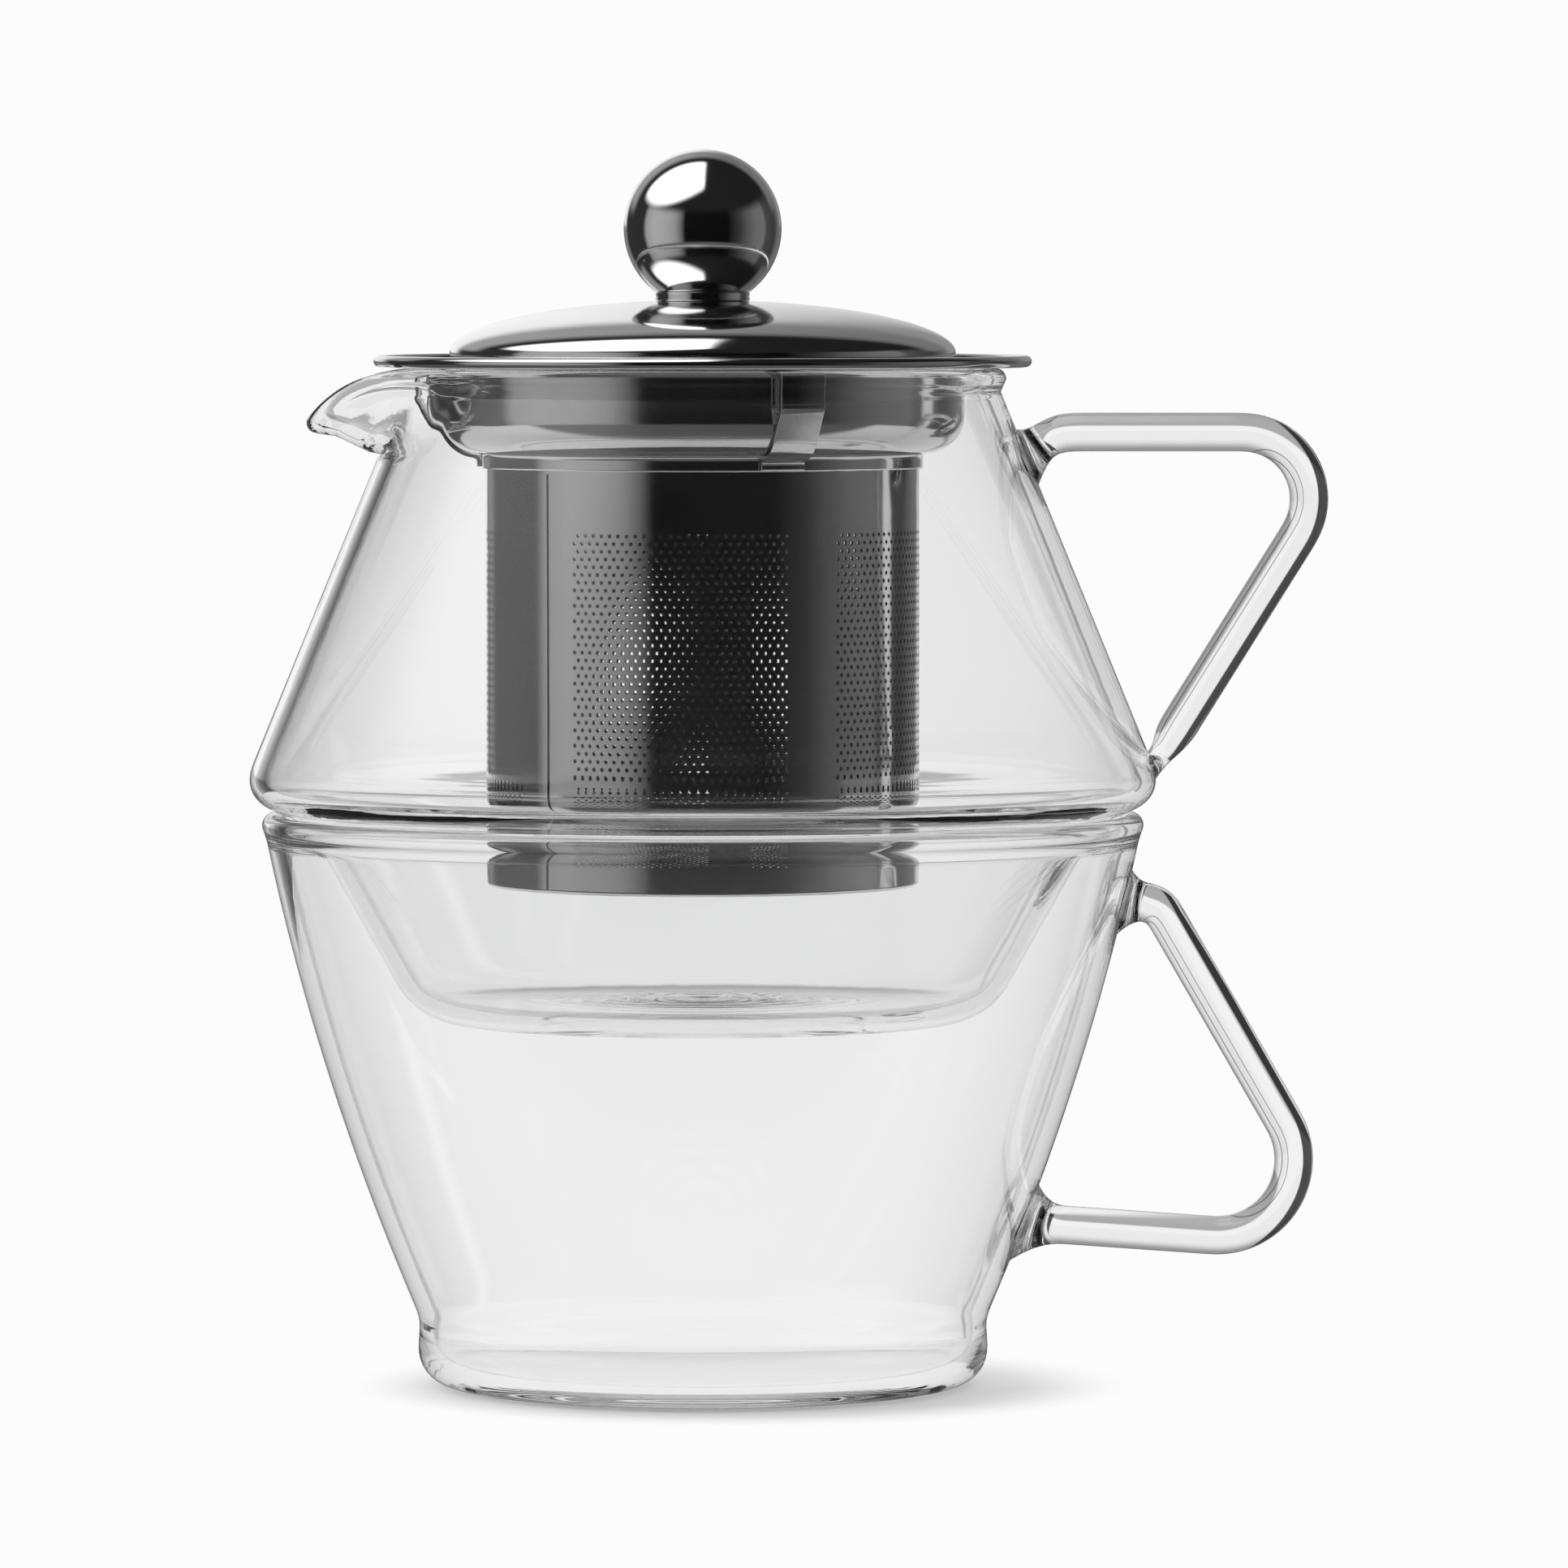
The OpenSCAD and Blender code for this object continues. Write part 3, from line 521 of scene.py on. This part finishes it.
def spring_shape(number):
    """A leaf spring: a flat strip carried along the collar's round, then straight, then upright.
    Across it the section is a rounded rectangle: width along the tangent, thickness along the
    path's normal."""
    inner_r = MOUTH - BEAD - BEAD - MOUTH_PLAY - SPRING_SHEET
    top = under - SPRING_LOW
    crease = top - SPRING_UPRIGHT
    gap, middle = COLLAR_ROUND + SEAT, SPRING_SHEET / 2
    slant = touch_angle(corner, gap, (inner_r, crease))
    foot = TUBE + COLLAR_SHEET + SEAT
    line = np.vstack([
        [[foot + 0.22, collar_low + SEAT + 0.02], [foot + 0.22, corner[1] - gap - 0.6],
         [foot + 0.5, corner[1] - gap - 0.24]],
        arc(corner, gap + middle, -82, slant, 16),
        [[inner_r + middle, crease], [inner_r + middle, top - 0.02]]])
    line = soften(resample(line, 0.25), 2)
    n = normals_of(line)
    half_w, half_t, soft = 2.88, 0.22, 0.12
    corners = []
    for cx, cy, a0 in ((1, 1, 0), (-1, 1, 90), (-1, -1, 180), (1, -1, 270)):
        corners.append(arc((cx * (half_w - soft), cy * (half_t - soft)), soft, a0, a0 + 90, 3))
    section = np.vstack(corners)
    r = line[:, :1] + section[:, 1] * n[:, :1]
    z = line[:, 1:] + section[:, 1] * n[:, 1:]
    w = section[:, 0] + 0 * r
    a = math.radians(SPRING_AT - 120 * number)
    points = np.stack([r * math.cos(a) - w * math.sin(a), r * math.sin(a) + w * math.cos(a), z], -1)
    rows, cols = points.shape[:2]
    faces = [list(f) for f in grid_faces(rows, cols)]
    faces += [list(range(cols))[::-1], list(range((rows - 1) * cols, rows * cols))]
    return points.reshape(-1, 3), faces


skirt_z = under + COLLAR_SHEET + SKIRT_ABOVE
lid_top = skirt_z + DOME_H
skirt_low = corner[1] - math.sqrt((COLLAR_ROUND - COLLAR_SHEET - SEAT) ** 2 - (LID - corner[0]) ** 2)


def lid_profile():
    """The dome is a quarter ellipse; its sheet turns down into the skirt. The hole for the screw
    goes through its middle."""
    hole = SCREW_HOLE
    a = np.radians(np.r_[np.linspace(4, 84, 70), np.linspace(85, 90, 8)])
    out = np.stack([LID * np.sin(a), skirt_z + DOME_H * np.cos(a)], 1)
    ins = np.stack([(LID - LID_SHEET) * np.sin(a), skirt_z + (DOME_H - LID_SHEET) * np.cos(a)], 1)
    out, ins = out[out[:, 0] > hole + 0.2], ins[ins[:, 0] > hole + 0.2]
    lip = arc((LID - 0.3, skirt_low + 0.3), 0.3, 0, -180, 10)
    mid = np.linspace(skirt_z - 0.4, skirt_low + 0.5, 12)
    outside = np.vstack([[[hole, lid_top - 0.02]], out, np.stack([np.full(12, LID), mid], 1)])
    inside = np.vstack([np.stack([np.full(12, LID - LID_SHEET), mid[::-1]], 1), ins[::-1],
                        [[hole, lid_top - LID_SHEET - 0.02]]])
    return np.vstack([outside, lip, inside])[::-1]


neck_z = lid_top - 0.1
ball_low = neck_z + NECK_H
ball_cut = math.sqrt(BALL ** 2 - NECK ** 2)
ball_z = ball_low + ball_cut


def ball_profile():
    """Outline of the ball: cut level above the neck, with a blind hole for the screw."""
    a = math.degrees(math.asin(-ball_cut / BALL))
    return np.vstack([
        [[0, ball_low + THREAD], [SCREW_HOLE, ball_low + THREAD], [SCREW_HOLE, ball_low]],
        [[NECK - 0.1, ball_low]],
        arc((0, ball_z), BALL, a + 0.4, 89.2, 90), [[0, ball_z + BALL]]])


def neck_profile():
    """Outline of the neck: a ring with a fine waist between two small rounds."""
    z = neck_z + 0.02
    return np.vstack([
        [[SCREW_HOLE, z], [NECK - 0.2, z]], arc((NECK - 0.2, z + 0.2), 0.2, -90, 0, 5),
        [[NECK - 0.12, z + 0.55]], arc((NECK - 0.2, z + 0.96), 0.2, 0, 90, 5),
        [[SCREW_HOLE, z + 1.16]]])


# ---------------------------------------------------------------- finishes
def group(name, inputs, outputs):
    """A shader node group with named inputs (name, kind, default) and outputs (name, kind)."""
    tree = bpy.data.node_groups.new(name, "ShaderNodeTree")
    for label, kind, value in inputs:
        socket = tree.interface.new_socket(label, in_out="INPUT", socket_type="NodeSocket" + kind)
        if value is not None:
            socket.default_value = value
    for label, kind in outputs:
        tree.interface.new_socket(label, in_out="OUTPUT", socket_type="NodeSocket" + kind)
    return tree, tree.nodes.new("NodeGroupInput"), tree.nodes.new("NodeGroupOutput")


def math_node(tree, how, a, b=None, clamp=False):
    """One step of arithmetic on sockets or numbers."""
    node = tree.nodes.new("ShaderNodeMath")
    node.operation = how
    node.use_clamp = clamp
    for socket, value in zip(node.inputs, (a, b)):
        if isinstance(value, bpy.types.NodeSocket):
            tree.links.new(value, socket)
        elif value is not None:
            socket.default_value = value
    return node.outputs[0]


def times(tree, first, *others):
    """The product of two or more values."""
    for other in others:
        first = math_node(tree, "MULTIPLY", first, other)
    return first


def inverse(tree, value):
    """One less the value, which turns a yes into a no."""
    return math_node(tree, "SUBTRACT", 1.0, value)


def either(tree, a, b):
    """The greater of two values."""
    return math_node(tree, "MAXIMUM", a, b)


def choose(tree, a, b, factor):
    """a where factor is 0, b where it is 1, and a mix between."""
    return math_node(tree, "ADD", times(tree, a, inverse(tree, factor)), times(tree, b, factor))


def map_range(tree, value, low, high, to_low, to_high):
    """A smooth step from to_low to to_high while the value runs from low to high."""
    node = tree.nodes.new("ShaderNodeMapRange")
    node.interpolation_type = "SMOOTHSTEP"
    tree.links.new(value, node.inputs["Value"])
    for label, number in (("From Min", low), ("From Max", high), ("To Min", to_low), ("To Max", to_high)):
        node.inputs[label].default_value = number
    return node.outputs["Result"]


def noise(tree, vector, scale, detail=2.0, stretch=None):
    """Noise between 0 and 1 with an even or a stretched scale."""
    if stretch:
        m = tree.nodes.new("ShaderNodeMapping")
        m.inputs["Scale"].default_value = stretch
        tree.links.new(vector, m.inputs["Vector"])
        vector = m.outputs["Vector"]
    node = tree.nodes.new("ShaderNodeTexNoise")
    node.inputs["Detail"].default_value = detail
    if isinstance(scale, bpy.types.NodeSocket):
        tree.links.new(scale, node.inputs["Scale"])
    else:
        node.inputs["Scale"].default_value = scale
    tree.links.new(vector, node.inputs["Vector"])
    return node.outputs["Fac"]


def make_polish_group():
    """Polishing marks and finger haze on sheet steel: fine rings round the axis, from a noise that
    is long along the turn and short across it, and broad soft patches."""
    tree, inp, out = group("steel_polish",
        [("Vector", "Vector", None), ("Roughness", "Float", 0.1), ("Marks", "Float", 0.3),
         ("Haze", "Float", 0.3)],
        [("Roughness", "Float"), ("Height", "Float"), ("Tone", "Float")])
    given = inp.outputs
    marks = noise(tree, given["Vector"], 160.0, 3.0, (3.0, 3.0, 60.0))
    haze = noise(tree, given["Vector"], 45.0, 2.0)
    marks_c = math_node(tree, "SUBTRACT", marks, 0.5)
    haze_c = math_node(tree, "SUBTRACT", haze, 0.5)
    rough = math_node(tree, "ADD", given["Roughness"],
                      times(tree, marks_c, given["Marks"], given["Roughness"]))
    rough = math_node(tree, "ADD", rough,
                      times(tree, haze_c, given["Haze"], given["Roughness"]), clamp=True)
    tree.links.new(rough, out.inputs["Roughness"])
    tree.links.new(times(tree, marks, given["Marks"]), out.inputs["Height"])
    tree.links.new(math_node(tree, "ADD", 1.0, times(tree, haze_c, 0.12)), out.inputs["Tone"])
    return tree


def make_ripple_group():
    """Waviness of blown glass: a slow noise drawn out along the height, and faint seeds."""
    tree, inp, out = group("blown_ripple",
        [("Vector", "Vector", None), ("Scale", "Float", 30.0), ("Seeds", "Float", 0.1)],
        [("Height", "Float")])
    slow = noise(tree, inp.outputs["Vector"], inp.outputs["Scale"], 1.0, (1.0, 1.0, 0.45))
    fine = noise(tree, inp.outputs["Vector"], 260.0, 1.0)
    tree.links.new(math_node(tree, "ADD", slow, times(tree, fine, inp.outputs["Seeds"])),
                   out.inputs["Height"])
    return tree


polish_group = make_polish_group()
ripple_group = make_ripple_group()


def material(name):
    """An empty material: itself, its tree, its output, a Principled shader and the place."""
    m = bpy.data.materials.new(name)
    m.use_nodes = True
    tree = m.node_tree
    tree.nodes.clear()
    out = tree.nodes.new("ShaderNodeOutputMaterial")
    shader = tree.nodes.new("ShaderNodeBsdfPrincipled")
    place = tree.nodes.new("ShaderNodeTexCoord")
    return m, tree, out, shader, place.outputs["Object"]


def bumped(tree, shader, height, distance):
    """Gives a shader relief from a height."""
    bump = tree.nodes.new("ShaderNodeBump")
    bump.inputs["Distance"].default_value = distance
    bump.inputs["Strength"].default_value = 1.0
    tree.links.new(height, bump.inputs["Height"])
    tree.links.new(bump.outputs["Normal"], shader.inputs["Normal"])


def steel(name, color, roughness, marks, haze, bump):
    """Polished stainless steel with polishing marks and haze."""
    m, tree, out, shader, place = material(name)
    polish = tree.nodes.new("ShaderNodeGroup")
    polish.node_tree = polish_group
    tree.links.new(place, polish.inputs["Vector"])
    for label, value in (("Roughness", roughness), ("Marks", marks), ("Haze", haze)):
        polish.inputs[label].default_value = value
    tone = tree.nodes.new("ShaderNodeMix")
    tone.data_type = "RGBA"
    tone.inputs["A"].default_value = (color[0] * 0.9, color[1] * 0.9, color[2] * 0.9, 1)
    tone.inputs["B"].default_value = (*color, 1)
    tree.links.new(map_range(tree, polish.outputs["Tone"], 0.96, 1.03, 0, 1), tone.inputs["Factor"])
    tree.links.new(tone.outputs["Result"], shader.inputs["Base Color"])
    tree.links.new(polish.outputs["Roughness"], shader.inputs["Roughness"])
    shader.inputs["Metallic"].default_value = 1.0
    bumped(tree, shader, polish.outputs["Height"], bump)
    tree.links.new(shader.outputs[0], out.inputs["Surface"])
    return m


def glass(name, edge, onset, ripple, ripple_scale):
    """Clear borosilicate glass. Its colour is darkened where the wall is seen edge-on: painted shade that
    draws the glass's dark edges.
    """
    m, tree, out, shader, place = material(name)
    wave = tree.nodes.new("ShaderNodeGroup")
    wave.node_tree = ripple_group
    tree.links.new(place, wave.inputs["Vector"])
    wave.inputs["Scale"].default_value = ripple_scale
    # Painted shade: the colour runs from near white to the edge value where the wall is seen edge-on
    facing = tree.nodes.new("ShaderNodeLayerWeight")
    facing.inputs["Blend"].default_value = 0.5
    painted_rim_shade = tree.nodes.new("ShaderNodeMix")
    painted_rim_shade.data_type = "RGBA"
    painted_rim_shade.inputs["A"].default_value = (0.995, 0.996, 0.996, 1)
    painted_rim_shade.inputs["B"].default_value = (edge, edge, edge, 1)
    tree.links.new(map_range(tree, facing.outputs["Facing"], onset, 1.0, 0, 1), painted_rim_shade.inputs["Factor"])
    tree.links.new(painted_rim_shade.outputs["Result"], shader.inputs["Base Color"])
    shader.inputs["Transmission Weight"].default_value = 1.0
    shader.inputs["Roughness"].default_value = 0.0
    shader.inputs["IOR"].default_value = 1.47
    shader.inputs["Specular IOR Level"].default_value = 0.25
    bumped(tree, shader, wave.outputs["Height"], ripple)
    path = tree.nodes.new("ShaderNodeLightPath")
    clear = tree.nodes.new("ShaderNodeBsdfTransparent")
    clear.inputs["Color"].default_value = (0.93, 0.93, 0.93, 1)
    mix = tree.nodes.new("ShaderNodeMixShader")
    tree.links.new(path.outputs["Is Shadow Ray"], mix.inputs["Fac"])
    tree.links.new(shader.outputs[0], mix.inputs[1])
    tree.links.new(clear.outputs[0], mix.inputs[2])
    tree.links.new(mix.outputs[0], out.inputs["Surface"])
    return m


# The second number is how dark the painted shade at the glass's edges gets
wall_glass = glass("clear_glass_wall", 0.05, 0.84, 0.00004, 22.0)
rod_glass = glass("clear_glass_rod", 0.05, 0.55, 0.0001, 60.0)
mirror_steel = steel("mirror_polished_steel", (0.78, 0.78, 0.785), 0.09, 0.5, 0.6, 0.00000015)
sheet_steel = steel("bright_sheet_steel", (0.62, 0.62, 0.625), 0.11, 0.6, 0.5, 0.0000002)
strainer_steel = steel("satin_sheet_steel", (0.62, 0.62, 0.625), 0.1, 0.7, 0.5, 0.0000002)

# ---------------------------------------------------------------- pieces
points, faces = turned(cup_profile, 192, lambda r, z, a: (
    dented(r, z, a, cup_radius, ((62.6, 0.9, 5.2), (21.2, 0.9, 5.0))), z), 0.5)
build("cup_glass", points, faces, "cup", ["cup_body"], wall_glass)
points, faces = turned(pot_profile, 192, lambda r, z, a: poured(
    dented(r, z, a, pot_radius, ((119.4, 0.9, 5.2), (belt_c[1] + 3, 0.4, 3.0))), z, a), 0.5)
build("pot_glass", points, faces, "pot", ["pot_body"], wall_glass)
points, faces = cup_handle_shape()
build("cup_handle_rod", points, faces, "cup", ["cup_handle"], rod_glass)
points, faces = pot_handle_shape()
build("pot_handle_rod", points, faces, "pot", ["pot_handle"], rod_glass)
points, faces = turned(collar_profile(), 192)
build("strainer_collar", points, faces, "infuser", ["infuser_collar"], sheet_steel)
points, faces, flat = tube_shape()
build("strainer_tube", points, faces, "infuser", ["infuser_tube"], strainer_steel, flat)
points, faces = turned(base_profile(), 144)
build("strainer_disc", points, faces, "infuser", ["infuser_base"], sheet_steel)
for number in range(3):
    points, faces = spring_shape(number)
    build("leaf_spring_%d" % (number + 1), points, faces, "spring_%d" % (number + 1),
          ["centring_spring_%d" % (number + 1)], sheet_steel)
points, faces = turned(lid_profile(), 192)
lid = build("lid_dome", points, faces, "lid", ["lid_shell"], mirror_steel)
pierce(lid, (VENT_X, 0, lid_top - 3), VENT, 8)
points, faces = turned(neck_profile(), 96)
build("knob_collar", points, faces, "lid", ["knob_neck"], mirror_steel)
points, faces = turned(ball_profile(), 128)
build("knob_globe", points, faces, "lid", ["knob_ball"], mirror_steel)
for node in ("knob_screw", "knob_washer"):
    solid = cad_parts[node]
    if not solid.material_slots:
        solid.data.materials.append(strainer_steel)
    for held in solid.material_slots:
        held.link = "DATA"
        held.material = strainer_steel

# ---------------------------------------------------------------- studio
scene = bpy.context.scene
scene.view_settings.view_transform = "Standard"
scene.cycles.max_bounces = 64
scene.cycles.transmission_bounces = 40
scene.cycles.glossy_bounces = 40
scene.cycles.transparent_max_bounces = 24

CAMERA_WHITE = 0.974      # the backdrop and the table as the camera sees them
GLASS_WHITE = 0.93        # the same through glass
# What polished steel mirrors: bands of a room round the horizon, by the compass angle in degrees
# from -Y, the front of the set (positive towards +X)
BANDS = ((-180, 0.12), (-160, 0.25), (-150, 0.22), (-142, 0.035), (-97, 0.03), (-90, 0.4), (-75, 0.5),
         (-55, 0.45), (-42, 0.37), (-33, 0.2), (-26, 0.003), (38, 0.002), (57, 0.045), (70, 0.11),
         (85, 0.17), (102, 0.2), (108, 0.08), (130, 0.05), (150, 0.2), (180, 0.12))


def compass_bands(tree, compass):
    """The brightness of BANDS at a compass angle in radians, read from a colour ramp."""
    ramp = tree.nodes.new("ShaderNodeValToRGB")
    stops = ramp.color_ramp.elements
    for angle, _ in BANDS[1:-1]:
        stops.new(angle / 360 + 0.5)
    for stop, (_, value) in zip(sorted(stops, key=lambda stop: stop.position), BANDS):
        stop.color = (value, value, value, 1)
    share = math_node(tree, "ADD", math_node(tree, "DIVIDE", compass, TURN), 0.5)
    tree.links.new(share, ramp.inputs["Fac"])
    return ramp.outputs["Color"]


def room(tree, x, y, z, bare):
    """What steel mirrors: the bands, a dark ceiling, a slit of light at the right that shows only in
    steel behind glass, a softbox over the left that shows only in bare steel, and a backdrop
    behind the set, lighter at the left. The softbox ends at x = 0 to 0.08, at y = 0.31 to 0.46,
    and at a front edge whose height climbs with x."""
    compass = math_node(tree, "ARCTAN2", x, times(tree, y, -1.0))
    level = choose(tree, compass_bands(tree, compass), 0.014, map_range(tree, z, 0.3, 0.5, 0, 1))
    slit = times(tree, map_range(tree, compass, 1.91, 1.95, 0, 1),
                 map_range(tree, compass, 2.09, 2.05, 0, 1), inverse(tree, bare))
    level = choose(tree, level, 0.9, slit)
    edge = math_node(tree, "SUBTRACT", z, math_node(tree, "ADD", times(tree, x, 0.46), 0.88))
    window = times(tree, map_range(tree, x, 0.08, 0.0, 0, 1), map_range(tree, y, 0.46, 0.31, 0, 1),
                   map_range(tree, edge, -0.09, 0.06, 0, 1), bare)
    level = choose(tree, level, 2.2, window)
    around = times(tree, map_range(tree, y, 0.5, 0.7, 0, 1), map_range(tree, z, 0.1, 0.3, 0, 1))
    level = choose(tree, level, map_range(tree, x, -0.3, 0.3, 0.4, 0.2), around)
    behind = times(tree, map_range(tree, y, 0.82, 0.92, 0, 1), map_range(tree, z, 0.0, 0.03, 0, 1))
    return choose(tree, level, map_range(tree, x, -0.08, 0.15, 1.0, 0.3), behind)


def beyond_glass(tree, x, z):
    """What is seen through glass: a white backdrop with a dark room past its left end, greyer to
    the right, two dark uprights there, and less light high up and below the horizon."""
    sight = choose(tree, map_range(tree, x, -0.32, -0.26, 0.07, 0.95), 0.5,
                   map_range(tree, x, -0.82, -0.92, 0, 1))
    for low, high, share in ((0.15, 0.4, 0.12), (0.55, 0.8, 0.35)):
        sight = times(tree, sight, map_range(tree, x, low, high, 1, 1 - share))
    for middle, half, share in ((0.235, 0.02, 0.6), (0.47, 0.03, 0.7)):
        upright = times(tree, map_range(tree, x, middle - half, middle - half / 2, 0, share),
                        map_range(tree, x, middle + half, middle + half / 2, 0, 1))
        sight = times(tree, sight, inverse(tree, upright))
    for low, high, start, end in ((0.2, 0.7, 1, 0.4), (-0.2, -0.26, 1, 0.45), (-0.07, -0.035, 1, 0.93)):
        sight = times(tree, sight, map_range(tree, z, low, high, start, end))
    return sight


def light_studio():
    """The world's brightness by direction, which differs for steel, for glass and for the camera."""
    world = bpy.data.worlds.new("studio")
    scene.world = world
    world.use_nodes = True
    tree = world.node_tree
    tree.nodes.clear()
    out = tree.nodes.new("ShaderNodeOutputWorld")
    place = tree.nodes.new("ShaderNodeTexCoord")
    xyz = tree.nodes.new("ShaderNodeSeparateXYZ")
    tree.links.new(place.outputs["Generated"], xyz.inputs[0])
    x, y, z = xyz.outputs
    path = tree.nodes.new("ShaderNodeLightPath").outputs
    bare = math_node(tree, "LESS_THAN", path["Transmission Depth"], 0.5)
    behind_glass = inverse(tree, bare)
    mirrored = math_node(tree, "MINIMUM", path["Glossy Depth"], 1.0)
    level = room(tree, x, y, z, bare)
    sight = beyond_glass(tree, x, z)
    # Light that turned inside a glass wall still comes from the backdrop: where it ends up going
    # onward, unless it was mirrored twice; in a lone wall; and where it turned many times
    twice = math_node(tree, "COMPARE", path["Glossy Depth"], 2.0)
    onward = math_node(tree, "ADD", y, times(tree, math_node(tree, "ABSOLUTE", z), 0.6))
    onward = times(tree, behind_glass, map_range(tree, onward, 0.91, 0.98, 0, 1), inverse(tree, twice))
    alone = times(tree, math_node(tree, "COMPARE", path["Transmission Depth"], 2.0),
                  map_range(tree, y, -0.6, -0.3, 0, 1))
    often = times(tree, math_node(tree, "GREATER_THAN", path["Glossy Depth"], 3.5), behind_glass)
    level = choose(tree, level, sight, either(tree, either(tree, onward, alone), often))
    # Towards the sides and the front of the set there is plain white beyond glass
    shown = choose(tree, sight, GLASS_WHITE, map_range(tree, y, 0.45, 0.2, 0, 1))
    shown = choose(tree, 0.75, shown, path["Is Transmission Ray"])
    shown = choose(tree, shown, level, mirrored)
    shown = choose(tree, shown, CAMERA_WHITE, path["Is Camera Ray"])
    light = tree.nodes.new("ShaderNodeBackground")
    light.inputs["Color"].default_value = (1, 1, 1, 1)
    tree.links.new(shown, light.inputs["Strength"])
    tree.links.new(light.outputs[0], out.inputs["Surface"])


def lamp(name, at, size, power, aim=(0, 0, 0.09)):
    """A softbox that casts light and shadow, and that neither steel nor glass shows."""
    data = bpy.data.lights.new(name, "AREA")
    data.shape = "RECTANGLE"
    data.size, data.size_y = size
    data.energy = power
    lamp_object = bpy.data.objects.new(name, data)
    scene.collection.objects.link(lamp_object)
    lamp_object.location = at
    lamp_object.rotation_euler = Vector(np.subtract(aim, at)).to_track_quat("-Z", "Y").to_euler()
    lamp_object.visible_glossy = False
    lamp_object.visible_transmission = False


def table_material():
    """A matt table that keeps the contact shadow. It shows plain white past the shadow, and grey in
    bare steel. Through glass it is white near the set, and farther off it lets the room below the
    horizon be seen instead."""
    made = bpy.data.materials.new("white_table")
    made.use_nodes = True
    tree = made.node_tree
    tree.nodes.clear()
    out = tree.nodes.new("ShaderNodeOutputMaterial")
    place = tree.nodes.new("ShaderNodeTexCoord").outputs["Object"]
    shift = tree.nodes.new("ShaderNodeMapping")
    shift.inputs["Location"].default_value = (-0.005, 0, 0)
    tree.links.new(place, shift.inputs["Vector"])
    length = tree.nodes.new("ShaderNodeVectorMath")
    length.operation = "LENGTH"
    tree.links.new(shift.outputs["Vector"], length.inputs[0])
    distance = length.outputs["Value"]
    spot = tree.nodes.new("ShaderNodeSeparateXYZ")
    tree.links.new(place, spot.inputs[0])
    path = tree.nodes.new("ShaderNodeLightPath").outputs
    through = math_node(tree, "MINIMUM", path["Transmission Depth"], 1.0)
    mirrored = math_node(tree, "MINIMUM", path["Glossy Depth"], 1.0)
    # Light that turned inside a glass wall still comes from a white table
    few = either(tree, math_node(tree, "LESS_THAN", path["Glossy Depth"], 1.5),
                 math_node(tree, "LESS_THAN", path["Transmission Depth"], 2.5))
    often = math_node(tree, "GREATER_THAN", path["Glossy Depth"], 3.5)
    guided = either(tree, times(tree, through, map_range(tree, spot.outputs["Y"], -0.10, -0.06, 0, 1), few),
                    times(tree, often, through))
    glow = choose(tree, CAMERA_WHITE, GLASS_WHITE, through)
    glow = choose(tree, glow, choose(tree, 0.12, 0.88, guided), mirrored)
    away = map_range(tree, distance, 0.034, 0.052, 0, 1)
    shows = either(tree, times(tree, away, path["Is Camera Ray"]), times(tree, through, 0.93))
    shows = either(tree, shows, mirrored)
    far = times(tree, through, map_range(tree, distance, 0.05, 0.065, 0, 1), inverse(tree, mirrored))
    matt = tree.nodes.new("ShaderNodeBsdfDiffuse")
    matt.inputs["Color"].default_value = (0.86, 0.86, 0.86, 1)
    white = tree.nodes.new("ShaderNodeEmission")
    tree.links.new(glow, white.inputs["Strength"])
    open_air = tree.nodes.new("ShaderNodeBsdfTransparent")
    surface = matt.outputs[0]
    for share, shader in ((shows, white), (far, open_air)):
        mix = tree.nodes.new("ShaderNodeMixShader")
        tree.links.new(share, mix.inputs["Fac"])
        tree.links.new(surface, mix.inputs[1])
        tree.links.new(shader.outputs[0], mix.inputs[2])
        surface = mix.outputs[0]
    tree.links.new(surface, out.inputs["Surface"])
    return made


light_studio()
lamp("left_softbox", (-1.0, -0.38, 0.72), (0.34, 0.42), 5)
lamp("top_softbox", (0.1, 0.35, 1.3), (0.8, 0.6), 7)

table_mesh = bpy.data.meshes.new("table")
sides, table_radius, table_z = 96, 0.42, -0.00015
around = np.arange(sides) / sides * TURN
ring = np.stack([np.cos(around), np.sin(around)], 1) * table_radius
table_mesh.from_pydata([(float(a), float(b), table_z) for a, b in ring], [], [list(range(sides))])
table = bpy.data.objects.new("table", table_mesh)
scene.collection.objects.link(table)
table_mesh.materials.append(table_material())

camera_data = bpy.data.cameras.new("camera")
camera = bpy.data.objects.new("camera", camera_data)
scene.collection.objects.link(camera)
scene.camera = camera
camera_data.sensor_width = 36
camera_data.lens = 249.9
camera_data.clip_end = 20
eye, aim = np.array([0.0105, -1.407, 0.1471]), np.array([0.0105, 0, 0.0778])
camera.location = eye
camera.rotation_euler = (math.pi / 2 - math.atan2(eye[2] - aim[2], -eye[1]), 0, 0)
